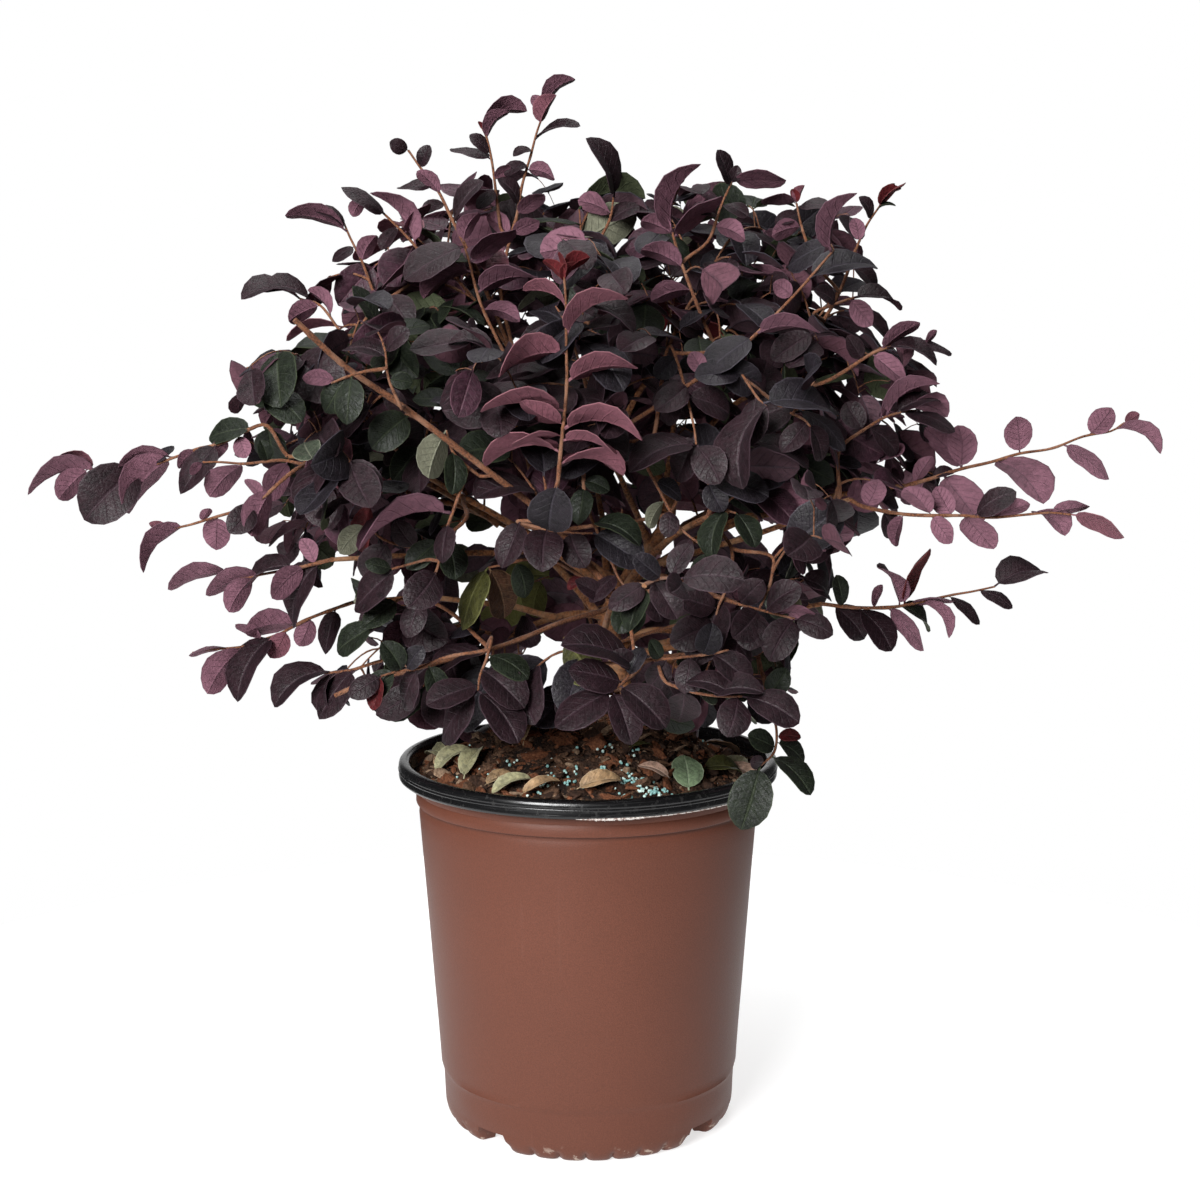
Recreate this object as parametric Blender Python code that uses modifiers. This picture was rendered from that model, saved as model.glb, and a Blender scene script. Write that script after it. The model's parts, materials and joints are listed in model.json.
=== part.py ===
"""A potted Chinese fringe flower: a moulded nursery pot, its potting soil, a short forked trunk, the boughs
that spring from it, and a crown of foliage masses with long arching shoots. Metres, +Z up. The origin is on
the pot's axis at the level of its feet; +X is to the right of the plant's front, which faces -Y."""

import collections
import math
import random

import bmesh
import bpy
from mathutils import Matrix, Vector
from mathutils.bvhtree import BVHTree

OBJECT_NAME = "potted_fringe_flower"
UP = Vector((0.0, 0.0, 1.0))
GAP = 0.0003  # between solids that touch on the real plant
GAP_ALLOWANCE = 1.1  # what a flat-sided limb adds to its gap, so that its faces keep it too
ROUNDING = 0.000001

# Overall reach, which the furthest leaves come up to
HALF_WIDTH = 0.335
HALF_DEPTH = 0.262
TOP_HEIGHT = 0.622

# Finishes: plain colour and roughness
PLASTIC_FINISH = (0.224, 0.080, 0.058), 0.45
SOIL_FINISH = (0.045, 0.026, 0.017), 0.95
BARK_FINISH = (0.30, 0.12, 0.05), 0.75
LEAF_FINISH = (0.050, 0.026, 0.040), 0.50

# Pot
POT_HEIGHT = 0.2225
RIM_RADIUS = 0.1150
RIM_DEPTH = 0.0140
RIM_ROUND = 0.0020
MOUTH_RADIUS = 0.1078
COLLAR_RADIUS = 0.1042
COLLAR_DEPTH = 0.0270
WALL_TOP_RADIUS = 0.1028
WALL_FOOT_RADIUS = 0.0909
WALL_THICKNESS = 0.0018
LIP_TOP_THICKNESS = 0.0027
LEDGE_HEIGHT = 0.0330
LEDGE_STEP = 0.0012
LEDGE_DEPTH = 0.0040
FLOOR_CORNER = 0.0020  # the inside corner of the floor is drawn in by this much
COLLAR_SLOPE = 0.0020
MOUTH_STEP = 0.0040
FOOT_TOP_RADIUS = 0.0889
FOOT_RADIUS = 0.0820
FOOT_INNER_RADIUS = 0.0740
FOOT_DRAFT = 0.0010
FOOT_HEIGHT = 0.0117
FOOT_ROUND_HEIGHT = 0.0045
FOOT_BULGE = 0.0040
FLOOR_THICKNESS = 0.0020
FEET = 4
FOOT_GAP_ANGLE = math.radians(15.0)
FIRST_FOOT_ANGLE = math.radians(-86.0)
SCALLOPS_PER_FOOT = 7
SCALLOP_FOOT_RADIUS = 0.00384  # of the wedge that parts two bumps, wide at the foot's underside
SCALLOP_TOP_RADIUS = 0.0008
SCALLOP_HEIGHT = 0.0085
SCALLOP_OVERRUN = 0.0010  # how far the cutting wedge starts below the foot
SCALLOP_WEDGE_SIDES = 4
TURNED_STEPS = 32
SEAM_MERGE = 0.00002  # joins the first and last step of a turned shape
TUBE_WELD = 0.00001  # joins a tube's end caps to its sides

# Potting soil, mounded round the trunk
SOIL_EDGE_HEIGHT = 0.2125
SOIL_TOP_HEIGHT = 0.2400
SOIL_FLAT_RADIUS = 0.0360  # as far as the trunk's flare reaches
SOIL_RINGS = 4

# Trunk, a short leaning stem with one kink
TRUNK_FOOT = Vector((0.024, 0.0, SOIL_TOP_HEIGHT + GAP))
TRUNK_WAIST = Vector((0.019, 0.001, 0.276))
TRUNK_KINK = Vector((0.012, 0.002, 0.306))
TRUNK_FORK = Vector((0.028, 0.004, 0.336))
TRUNK_FLARE_RADIUS = 0.0095
TRUNK_RADIUS = 0.0060
TRUNK_FORK_RADIUS = 0.0046
FLARE_HEIGHT = 0.012
FLARE_STRAIGHT = 0.3  # share of the flare that rises upright, so that its cut at the soil is level
FLARE_TAPER = 0.80
BELOW_KINK = 0.6
ABOVE_KINK = 0.45
BOUGH_RADIUS = 0.0026
BRANCH_RADIUS = 0.0020
LIMB_TIP_RADIUS = 0.0014
LIMB_CLEARANCE = 0.0008
LIMB_SEGMENT = 0.040
ARC_CONTROLS = ((0.33, 1.4), (0.67, 1.2))  # share of the way, and of the lift, of a path's two middle points
LIMB_ROUNDNESS = 1  # the bevel resolution of a limb's round section
LEADING_TAPER = 0.97  # what the bough that leads on from the trunk keeps of the fork's radius
BOUGH_STEPS = 60
BOUGH_TIP_DEPTH = 0.80
BOUGH_TIP_CLEARANCE = 0.004

# Leaves and twigs, the leaves a little larger than life as there are fewer of them
LEAF_LENGTH = 0.052
LEAF_SIZES = (0.86, 1.0)
LEAF_DROOPS = (0.15, 0.55, -0.25)  # tried in turn until the leaf has room
LEAF_TURN = 0.35
FIRST_LEAF = 0.012
FIRST_STEM_LEAF = 0.014
LAST_LEAF = 0.006
TIP_LEAF_SIZES = (0.80, 0.95)
TIP_LEAF_DROOPS = (0.1, 0.6, -0.3)
TIP_LEAF_TURNS = (-0.4, 0.2)
SHOOT_LEAF_DROOP = 0.15
LEAF_WIDTH = 0.038
LEAF_THICKNESS = 0.0012
LEAF_THICK_AT = 0.14
LEAF_WIDE_AT = 0.45
LEAF_FOLD = 0.10
LEAF_CURL = 0.10
LEAF_FACES_UP = 0.45
CROWN_MIDDLE = Vector((0.0, 0.0, 0.38))
LEAF_STEP = 0.0150
LEAF_ANGLE = math.radians(52.0)
TIP_LEAF_SUNK = 0.0030
STEM_RADIUS = 0.0012
STEM_COLLAR = 0.005
BARE_START = 0.010
TWIG_RADIUS = 0.0010
TWIG_TIP_RADIUS = 0.0007
TWIG_ANGLE = math.radians(62.0)
FIRST_TWIG_STEP = 0.027
LONGEST_TWIG = 0.080
SHORTEST_TWIG = 0.021
TWIG_SEGMENT = 0.050
STEM_SEGMENT = 0.040
TWIG_SHARES = (1.0, 0.75, 0.55)  # of the wanted length, tried in turn
TWIG_LIFT = 0.05
STEM_LIFT = 0.06
STEM_LEAN = (0.55, 0.85)  # outwards and upwards
STEM_REACH = 0.40
STEM_DRAW_BACK = 0.1
LAST_TWIG = 0.92
ROOM_FOR_TIP_LEAF = 0.60
ROOM_FOR_FILL_LEAF = 0.25
FILL_TRIES_PER_LEAF = 4
FILL_PLACES = 30
FILL_WITHIN = 0.95  # share of the room's half-sizes that the places are dealt over
NEAREST_FILL = 0.02
REACH_STEP = 0.004
FURTHEST_REACH = 0.14

# Clearances within a mass; close to its own root a stalk or a leaf may touch what it grows from
SAMPLE_STEP = 0.004
STALK_SPACING = 0.0055
STALK_ROOT = 0.007
LEAF_ROOT = 0.004
LIMB_MARGIN = 0.0006
LEAF_FROM_STALK = 1.6  # times the twig's radius
STALK_FROM_LEAF = 2.0
GOLDEN_ANGLE = math.pi * (3.0 - math.sqrt(5.0))
SPACE_MARGIN = 0.0006
SHOOT_HALF_WIDTH = 0.036
SHOOT_HALF_HEIGHT = 0.030
SHOOT_OVERREACH = 1.08
UPRIGHT = 0.9  # a shoot steeper than this has no level side of its own

# A mound has a centre, half-sizes and about so many leaves; its bough springs at a share of its parent's
# length and rises by lift above the straight line. A shoot runs from its start to the tip of its last leaf.
Mound = collections.namedtuple("Mound", "name parent along lift centre radii leaves")
Shoot = collections.namedtuple("Shoot", "name parent along lift start tip sag leaves")

SUMMIT = Vector((-0.006, -0.004, TOP_HEIGHT))
SUMMIT_HEADING = Vector((0.35, -0.1, 1.0))
END_LEAF_FACE = Vector((0.0, -0.2, 1.0))
MASSES = (
    Mound("spire", "trunk", 1.0, 0.0, (-0.014, 0.0, 0.54), (0.055, 0.07, 0.082), 16),
    Mound("top_left", "spire", 0.45, 0.01, (-0.095, -0.01, 0.508), (0.075, 0.082, 0.08), 22),
    Mound("top_right", "spire", 0.6, 0.008, (0.07, -0.01, 0.503), (0.065, 0.082, 0.072), 19),
    Mound("far_right_top", "spire", 0.25, 0.02, (0.15, -0.02, 0.488), (0.062, 0.075, 0.078), 19),
    Mound("top_front", "spire", 0.12, 0.004, (-0.01, -0.12, 0.45), (0.075, 0.062, 0.09), 20),
    Mound("left", "trunk", 0.78, 0.012, (-0.16, 0.02, 0.405), (0.068, 0.08, 0.07), 17),
    Mound("front_left", "trunk", 0.88, 0.0, (-0.145, -0.11, 0.43), (0.075, 0.068, 0.075), 20),
    Mound("front_right", "trunk", 0.74, 0.01, (0.095, -0.125, 0.405), (0.075, 0.065, 0.078), 20),
    Mound("right", "trunk", 0.85, 0.004, (0.155, 0.0, 0.4), (0.066, 0.07, 0.066), 17),
    Mound("back_right", "trunk", 0.6, 0.012, (0.115, 0.13, 0.4), (0.08, 0.075, 0.08), 20),
    Mound("back_left", "trunk", 0.54, 0.012, (-0.115, 0.13, 0.4), (0.08, 0.075, 0.08), 20),
    Mound("top_back_right", "back_right", 0.5, 0.015, (0.07, 0.1, 0.5), (0.075, 0.07, 0.068), 17),
    Mound("top_back_left", "back_left", 0.5, 0.015, (-0.07, 0.1, 0.5), (0.075, 0.07, 0.068), 17),
    Mound("back", "trunk", 0.7, 0.012, (0.0, 0.165, 0.415), (0.06, 0.06, 0.08), 16),
    Mound("low_left", "trunk", 0.66, 0.006, (-0.115, -0.045, 0.285), (0.085, 0.065, 0.048), 14),
    Mound("low_front", "trunk", 0.46, 0.01, (-0.015, -0.125, 0.29), (0.08, 0.058, 0.06), 14),
    Mound("low_right_front", "trunk", 0.3, 0.012, (0.08, -0.1, 0.29), (0.065, 0.055, 0.055), 12),
    Mound("low_right", "trunk", 0.42, 0.01, (0.12, 0.015, 0.3), (0.06, 0.065, 0.048), 12),
    Mound("low_back", "trunk", 0.34, 0.012, (-0.01, 0.125, 0.3), (0.12, 0.065, 0.052), 19),
    Shoot("right_upper_shoot", "right", 0.55, 0.006, (0.215, -0.008, 0.39), (0.335, -0.012, 0.41), 0.016, 10),
    Shoot("right_middle_shoot", "right", 0.3, -0.002, (0.19, -0.05, 0.362), (0.318, -0.07, 0.362), 0.008, 9),
    Shoot("right_lower_shoot", "low_right", 0.45, 0.002, (0.17, -0.02, 0.318), (0.28, -0.03, 0.332), 0.0, 9),
    Shoot("left_upper_shoot", "left", 0.6, 0.01, (-0.21, 0.005, 0.406), (-0.335, 0.0, 0.384), 0.01, 10),
    Shoot("left_middle_shoot", "left", 0.35, 0.0, (-0.165, -0.045, 0.35), (-0.264, -0.06, 0.348), 0.008, 7),
    Shoot("left_lower_shoot", "low_left", 0.5, 0.006, (-0.165, 0.025, 0.3), (-0.248, 0.03, 0.272), 0.01, 6),
    Shoot("front_shoot", "low_front", 0.45, 0.01, (0.03, -0.175, 0.345), (0.045, -0.262, 0.35), 0.008, 6),
    Shoot("back_shoot", "low_back", 0.4, 0.012, (0.02, 0.18, 0.335), (-0.02, 0.262, 0.345), 0.008, 6),
    Shoot(
        "hanging_shoot", "low_right_front", 0.55, 0.006, (0.118, -0.062, 0.258), (0.106, -0.096, 0.182), -0.004, 6
    ),
)


def clear_scene():
    for item in list(bpy.data.objects):
        bpy.data.objects.remove(item, do_unlink=True)


def new_collection(name):
    made = bpy.data.collections.new(name)
    bpy.context.scene.collection.children.link(made)
    return made


def new_material(name, colour, roughness):
    made = bpy.data.materials.new(name)
    made.use_nodes = True
    shader = made.node_tree.nodes["Principled BSDF"]
    shader.inputs["Base Color"].default_value = (*colour, 1.0)
    shader.inputs["Roughness"].default_value = roughness
    shader.inputs["Metallic"].default_value = 0.0
    return made


def mesh_object(name, mesh, collection, material=None):
    made = bpy.data.objects.new(name, mesh)
    collection.objects.link(made)
    if material:
        mesh.materials.clear()
        mesh.materials.append(material)
    return made


def turned_object(name, profile, collection, material):
    """A closed outline turned about the Z axis; its points run down the outer side and up the inner."""
    outline = bpy.data.meshes.new(name)
    edges = [(i, i + 1) for i in range(len(profile) - 1)]
    outline.from_pydata([(radius, 0.0, height) for radius, height in profile], edges, [])
    made = mesh_object(name, outline, collection, material)
    screw = made.modifiers.new("turned", "SCREW")
    screw.steps = screw.render_steps = TURNED_STEPS
    screw.use_merge_vertices = True
    screw.merge_threshold = SEAM_MERGE
    return made


def evaluated_mesh(item, weld=False):
    """The object's mesh as its modifiers leave it, in world space; weld joins a tube's ends to its sides."""
    bpy.context.view_layer.update()
    graph = bpy.context.evaluated_depsgraph_get()
    mesh = bpy.data.meshes.new_from_object(item.evaluated_get(graph))
    mesh.transform(item.matrix_world)
    if weld:
        work = bmesh.new()
        work.from_mesh(mesh)
        bmesh.ops.remove_doubles(work, verts=work.verts, dist=TUBE_WELD)
        work.to_mesh(mesh)
        work.free()
    return mesh


def cut_away(item, cutter):
    cut = item.modifiers.new("cut", "BOOLEAN")
    cut.operation = "DIFFERENCE"
    cut.object = cutter


def join_with(item, collection):
    union = item.modifiers.new("union", "BOOLEAN")
    union.operation = "UNION"
    union.operand_type = "COLLECTION"
    union.collection = collection


def as_cutter(item):
    item.hide_render = True
    item.display_type = "WIRE"


def curve_mesh(path, radii, outline=None):
    """A tube along the path as a mesh, with flat filled ends; an outline curve gives it another section."""
    data = bpy.data.curves.new("tube", "CURVE")
    data.dimensions = "3D"
    data.use_fill_caps = True
    if outline:
        data.bevel_mode = "OBJECT"
        data.bevel_object = outline
    else:
        data.bevel_depth = 1.0
        data.bevel_resolution = LIMB_ROUNDNESS
    spline = data.splines.new("POLY")
    spline.points.add(len(path) - 1)
    for point, place, radius in zip(spline.points, path, radii):
        point.co = (*place, 1.0)
        point.radius = radius
    holder = bpy.data.objects.new("tube", data)
    bpy.context.scene.collection.objects.link(holder)
    mesh = evaluated_mesh(holder, weld=True)
    bpy.data.objects.remove(holder)
    bpy.data.curves.remove(data)
    return mesh


def triangle_outline(collection):
    """A three-sided section of unit radius, for stems and twigs."""
    data = bpy.data.curves.new("twig_section", "CURVE")
    data.dimensions = "2D"
    spline = data.splines.new("POLY")
    spline.points.add(2)
    spline.use_cyclic_u = True
    for number, point in enumerate(spline.points):
        angle = -2.0 * math.pi * number / 3.0
        point.co = (math.cos(angle), math.sin(angle), 0.0, 1.0)
    made = bpy.data.objects.new("twig_section", data)
    collection.objects.link(made)
    as_cutter(made)
    return made


def bezier(points, t):
    """The point at t on a Bezier curve, by repeated halving between its control points."""
    while len(points) > 1:
        points = [a.lerp(b, t) for a, b in zip(points, points[1:])]
    return points[0]


def arc_between(start, end, lift, step):
    """A path from start to end that rises above the straight line by about lift."""
    count = max(2, round((end - start).length / step) + 1)
    middle = [start.lerp(end, share) + UP * lift * rise for share, rise in ARC_CONTROLS]
    controls = [start, *middle, end]
    return [bezier(controls, i / (count - 1)) for i in range(count)]


def place_along(path, fraction):
    """The point and direction at a fraction of the path's length."""
    lengths = [(b - a).length for a, b in zip(path, path[1:])]
    wanted = fraction * sum(lengths)
    for a, b, length in zip(path, path[1:], lengths):
        if wanted <= length + ROUNDING:
            return a.lerp(b, min(1.0, wanted / length)), (b - a).normalized()
        wanted -= length
    return path[-1].copy(), (path[-1] - path[-2]).normalized()


def path_length(path):
    return sum((b - a).length for a, b in zip(path, path[1:]))


def touches(tree, point, distance):
    return tree.find_nearest(point, distance)[0] is not None


def tapered(count, base, tip):
    return [base + (tip - base) * i / (count - 1) for i in range(count)]


def tree_of(mesh):
    corners = [vert.co.copy() for vert in mesh.vertices]
    return BVHTree.FromPolygons(corners, [tuple(face.vertices) for face in mesh.polygons])


# The pot and its soil


def wall_radius(height):
    """Outer radius of the straight tapering wall."""
    wall_top = POT_HEIGHT - COLLAR_DEPTH
    share = (height - LEDGE_HEIGHT) / (wall_top - LEDGE_HEIGHT)
    return WALL_FOOT_RADIUS + (WALL_TOP_RADIUS - WALL_FOOT_RADIUS) * share


def pot_profile():
    """The pot's section: a lip turned down outside the mouth, a collar, a tapering wall, a ledge and feet."""
    rim_under = POT_HEIGHT - RIM_DEPTH
    collar_foot = POT_HEIGHT - COLLAR_DEPTH
    floor_top = FOOT_HEIGHT + FLOOR_THICKNESS
    outer = [
        (MOUTH_RADIUS + RIM_ROUND, POT_HEIGHT),
        (RIM_RADIUS - RIM_ROUND, POT_HEIGHT),
        (RIM_RADIUS, POT_HEIGHT - RIM_ROUND),
        (RIM_RADIUS, rim_under),
        (RIM_RADIUS - WALL_THICKNESS, rim_under),
        (RIM_RADIUS - WALL_THICKNESS, POT_HEIGHT - LIP_TOP_THICKNESS),
        (MOUTH_RADIUS + WALL_THICKNESS, POT_HEIGHT - LIP_TOP_THICKNESS),
        (MOUTH_RADIUS + WALL_THICKNESS, rim_under + MOUTH_STEP),
        (COLLAR_RADIUS, rim_under),
        (COLLAR_RADIUS, collar_foot + COLLAR_SLOPE),
        (wall_radius(collar_foot), collar_foot),
        (WALL_FOOT_RADIUS, LEDGE_HEIGHT),
        (WALL_FOOT_RADIUS - LEDGE_STEP, LEDGE_HEIGHT - LEDGE_DEPTH),
        (FOOT_TOP_RADIUS, FOOT_HEIGHT),
        (FOOT_RADIUS + FOOT_BULGE, FOOT_ROUND_HEIGHT),
        (FOOT_RADIUS, 0.0),
        (FOOT_INNER_RADIUS, 0.0),
        (FOOT_INNER_RADIUS - FOOT_DRAFT, FOOT_HEIGHT),
        (0.0, FOOT_HEIGHT),
    ]
    inner = [
        (0.0, floor_top),
        (floor_radius(), floor_top),
        (WALL_FOOT_RADIUS - WALL_THICKNESS, LEDGE_HEIGHT),
        (inner_radius(collar_foot), collar_foot),
        (inner_radius(rim_under), rim_under),
        (MOUTH_RADIUS, rim_under + MOUTH_STEP),
        (MOUTH_RADIUS, POT_HEIGHT - RIM_ROUND),
        (MOUTH_RADIUS + RIM_ROUND, POT_HEIGHT),
    ]
    return outer + inner


def inner_radius(height):
    """Inside radius of the wall above the ledge."""
    return wall_radius(height) - WALL_THICKNESS


def floor_radius():
    """Radius of the flat inside of the floor."""
    return WALL_FOOT_RADIUS - LEDGE_STEP - WALL_THICKNESS - FLOOR_CORNER


def foot_gap_cutter(number):
    """A block that opens the gap between two feet, up to the underside of the floor."""
    angle = FIRST_FOOT_ANGLE + (number + 0.5) * 2.0 * math.pi / FEET
    length = RIM_RADIUS - FOOT_INNER_RADIUS
    middle = FOOT_INNER_RADIUS - FOOT_BULGE + length / 2.0
    width = 2.0 * FOOT_RADIUS * math.sin(FOOT_GAP_ANGLE / 2.0)
    bpy.ops.mesh.primitive_cube_add(size=1.0)
    block = bpy.context.object
    block.scale = (length, width, 2.0 * FOOT_HEIGHT)
    block.rotation_euler = (0.0, 0.0, angle)
    block.location = (middle * math.cos(angle), middle * math.sin(angle), 0.0)
    return block


def scallop_cutter(angle):
    """A slim upright wedge that parts two of the rounded bumps on a foot's outer edge."""
    bpy.ops.mesh.primitive_cone_add(
        vertices=SCALLOP_WEDGE_SIDES,
        radius1=SCALLOP_FOOT_RADIUS,
        radius2=SCALLOP_TOP_RADIUS,
        depth=SCALLOP_HEIGHT + 2.0 * SCALLOP_OVERRUN,
    )
    wedge = bpy.context.object
    reach = FOOT_RADIUS + FOOT_BULGE
    wedge.rotation_euler = (0.0, 0.0, angle)
    middle = SCALLOP_HEIGHT / 2.0 - SCALLOP_OVERRUN
    wedge.location = (reach * math.cos(angle), reach * math.sin(angle), middle)
    return wedge


def join_cutters(name, pieces, cutters):
    joined = bmesh.new()
    bpy.context.view_layer.update()
    for piece in pieces:
        mesh = piece.data.copy()
        mesh.transform(piece.matrix_world)
        joined.from_mesh(mesh)
        bpy.data.objects.remove(piece)
    mesh = bpy.data.meshes.new(name)
    joined.to_mesh(mesh)
    joined.free()
    made = mesh_object(name, mesh, cutters)
    as_cutter(made)
    return made


def make_pot(parts, cutters, material):
    pot = turned_object("pot", pot_profile(), parts, material)
    gaps = join_cutters("foot_gaps", [foot_gap_cutter(n) for n in range(FEET)], cutters)
    wedges = []
    foot_span = 2.0 * math.pi / FEET - FOOT_GAP_ANGLE
    for foot in range(FEET):
        foot_start = FIRST_FOOT_ANGLE + foot * 2.0 * math.pi / FEET - foot_span / 2.0
        for line in range(1, SCALLOPS_PER_FOOT):
            wedges.append(scallop_cutter(foot_start + foot_span * line / SCALLOPS_PER_FOOT))
    scallops = join_cutters("scallop_lines", wedges, cutters)
    cut_away(pot, gaps)
    cut_away(pot, scallops)
    return pot


def soil_height(radius):
    """Height of the soil's surface: flat round the trunk, falling in a smooth slope to the mouth."""
    share = max(0.0, (radius - SOIL_FLAT_RADIUS) / (MOUTH_RADIUS - SOIL_FLAT_RADIUS))
    return SOIL_EDGE_HEIGHT + (SOIL_TOP_HEIGHT - SOIL_EDGE_HEIGHT) * 0.5 * (1.0 + math.cos(math.pi * share))


def make_soil(parts, material):
    edge = MOUTH_RADIUS - 2.0 * GAP
    surface = [(0.0, SOIL_TOP_HEIGHT)]
    for ring in range(SOIL_RINGS + 1):
        radius = SOIL_FLAT_RADIUS + (edge - SOIL_FLAT_RADIUS) * ring / SOIL_RINGS
        surface.append((radius, soil_height(radius)))
    floor = FOOT_HEIGHT + FLOOR_THICKNESS + GAP
    rim_under = POT_HEIGHT - RIM_DEPTH
    sides = [
        (inner_radius(rim_under) - 2.0 * GAP, rim_under),
        (inner_radius(POT_HEIGHT - COLLAR_DEPTH) - GAP, POT_HEIGHT - COLLAR_DEPTH),
        (WALL_FOOT_RADIUS - WALL_THICKNESS - GAP, LEDGE_HEIGHT),
        (floor_radius() - 2.0 * GAP, floor),
        (0.0, floor),
    ]
    return turned_object("potting_soil", surface + sides, parts, material)


# The trunk and the boughs


class Limb:
    """A tapering limb along a path, with a slightly fatter twin that keeps its neighbours clear."""

    def __init__(self, path, radii):
        self.path = path
        self.radii = radii
        self.mesh = curve_mesh(path, radii)
        self.fat_mesh = curve_mesh(path, [radius + GAP_ALLOWANCE * GAP for radius in radii])
        self.guard = tree_of(curve_mesh(path, [radius + LIMB_CLEARANCE for radius in radii]))

def make_trunk():
    """The trunk from its level cut at the soil, through its flare, waist and kink, to the fork."""
    flare_foot = TRUNK_FOOT + UP * FLARE_HEIGHT * FLARE_STRAIGHT
    rest_of_flare = FLARE_HEIGHT * (1.0 - FLARE_STRAIGHT)
    flare_top = flare_foot.lerp(TRUNK_WAIST, rest_of_flare / (TRUNK_WAIST - flare_foot).length)
    below_kink = TRUNK_WAIST.lerp(TRUNK_KINK, BELOW_KINK)
    above_kink = TRUNK_KINK.lerp(TRUNK_FORK, ABOVE_KINK)
    upper = [TRUNK_WAIST, below_kink, TRUNK_KINK, above_kink, TRUNK_FORK]
    radii = [TRUNK_FLARE_RADIUS, TRUNK_FLARE_RADIUS * FLARE_TAPER, TRUNK_RADIUS]
    radii += tapered(len(upper), TRUNK_RADIUS * LEADING_TAPER, TRUNK_FORK_RADIUS)
    return Limb([TRUNK_FOOT, flare_foot, flare_top] + upper, radii)


def mass_span(mass):
    """Centre and the three half-axis vectors of the room a mass fills."""
    if isinstance(mass, Mound):
        axes = [Vector((mass.radii[0], 0, 0)), Vector((0, mass.radii[1], 0)), Vector((0, 0, mass.radii[2]))]
        return Vector(mass.centre), axes
    start, tip = Vector(mass.start), Vector(mass.tip)
    along = (tip - start) / 2.0
    side = along.cross(UP).normalized() if abs(along.normalized().z) < UPRIGHT else Vector((1, 0, 0))
    across = along.cross(side).normalized()
    return (start + tip) / 2.0, [along * SHOOT_OVERREACH, side * SHOOT_HALF_WIDTH, across * SHOOT_HALF_HEIGHT]


def spread(axes):
    """The matrix that turns a direction into the reach of the room along it."""
    total = Matrix(((0, 0, 0), (0, 0, 0), (0, 0, 0)))
    for axis in axes:
        total += Matrix([[axis[i] * axis[j] for j in range(3)] for i in range(3)])
    return total


class Space:
    """The convex room of one mass: planes keep it clear of the other masses' rooms."""

    def __init__(self, mass):
        self.mass = mass
        self.centre, self.axes = mass_span(mass)
        self.spread = spread(self.axes)
        self.planes = []

    def add_plane_towards(self, other):
        apart = other.centre - self.centre
        normal = ((self.spread + other.spread).inverted() @ apart).normalized()
        own = math.sqrt(normal.dot(self.spread @ normal))
        others = math.sqrt(normal.dot(other.spread @ normal))
        self.planes.append((normal, normal.dot(apart) * own / (own + others)))

    def clearance(self, point):
        """How far inside all the planes the point lies."""
        offset = point - self.centre
        return min(limit - normal.dot(offset) for normal, limit in self.planes)

    def open_to(self, point):
        """True where the planes, and the plant's whole reach, leave room for the point."""
        across = abs(point.x) <= HALF_WIDTH + ROUNDING and abs(point.y) <= HALF_DEPTH + ROUNDING
        return across and point.z <= TOP_HEIGHT + ROUNDING and self.clearance(point) >= SPACE_MARGIN

    def depth(self, point):
        """Under one inside the mound's rounded outline; a shoot has only its planes."""
        if isinstance(self.mass, Shoot):
            return 0.0
        offset = point - self.centre
        return sum((offset[i] / self.mass.radii[i]) ** 2 for i in range(3))

    def holds(self, point):
        return self.depth(point) <= 1.0 and self.open_to(point)


def bough_tip(mass, space, spring):
    """Where the bough enters its mass: the first point on the way in that is well inside the room."""
    start, end = spring, space.centre
    if isinstance(mass, Shoot):
        start, end = Vector(mass.start), Vector(mass.tip)
    for step in range(BOUGH_STEPS):
        point = start.lerp(end, step / BOUGH_STEPS)
        if space.depth(point) < BOUGH_TIP_DEPTH and space.clearance(point) > BOUGH_TIP_CLEARANCE:
            return point
    raise ValueError(mass.name + " has no room for its bough's tip")


def make_bough(mass, space, limbs):
    parent = limbs[mass.parent]
    spring, heading = place_along(parent.path, mass.along)
    tip = bough_tip(mass, space, spring)
    leads_on = mass.along >= 1.0
    if leads_on:
        spring = spring + heading * GAP
    path = arc_between(spring, tip, mass.lift, LIMB_SEGMENT)
    base = BOUGH_RADIUS if mass.parent == "trunk" else BRANCH_RADIUS
    if leads_on:
        path[1] = spring + heading * (path[1] - spring).length
        base = parent.radii[-1] * LEADING_TAPER
    return Limb(path, tapered(len(path), base, LIMB_TIP_RADIUS))


# Foliage


def outward_face(point):
    """The way a leaf turns its upper side: up, and away from the middle of the crown."""
    return UP * LEAF_FACES_UP + (point - CROWN_MIDDLE).normalized() * (1.0 - LEAF_FACES_UP)


def leaf_curl(face, length):
    """How far a leaf's tip curls back from its face."""
    return face * (LEAF_CURL * length)


def leaf_mesh(root, along, face, length, width):
    """An eight-faced leaf: a ball of eight faces drawn out to a root, a tip, two raised sides and a rib."""
    along = along.normalized()
    side = face.cross(along).normalized()
    face = along.cross(side).normalized()
    work = bmesh.new()
    bmesh.ops.create_uvsphere(work, u_segments=4, v_segments=2, radius=1.0)
    for vert in work.verts:
        x, y, z = vert.co
        if abs(z) > 0.5:
            place = along * (LEAF_THICK_AT * length) + face * (math.copysign(LEAF_THICKNESS / 2.0, z))
        elif abs(y) > 0.5:
            place = along * (LEAF_WIDE_AT * length) + side * math.copysign(width / 2.0, y)
            place += face * (LEAF_FOLD * width)
        elif x > 0.5:
            place = along * length - leaf_curl(face, length)
        else:
            place = Vector((0.0, 0.0, 0.0))
        vert.co = root + place
    bmesh.ops.recalc_face_normals(work, faces=work.faces)
    mesh = bpy.data.meshes.new("leaf")
    work.to_mesh(mesh)
    work.free()
    return mesh


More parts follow.
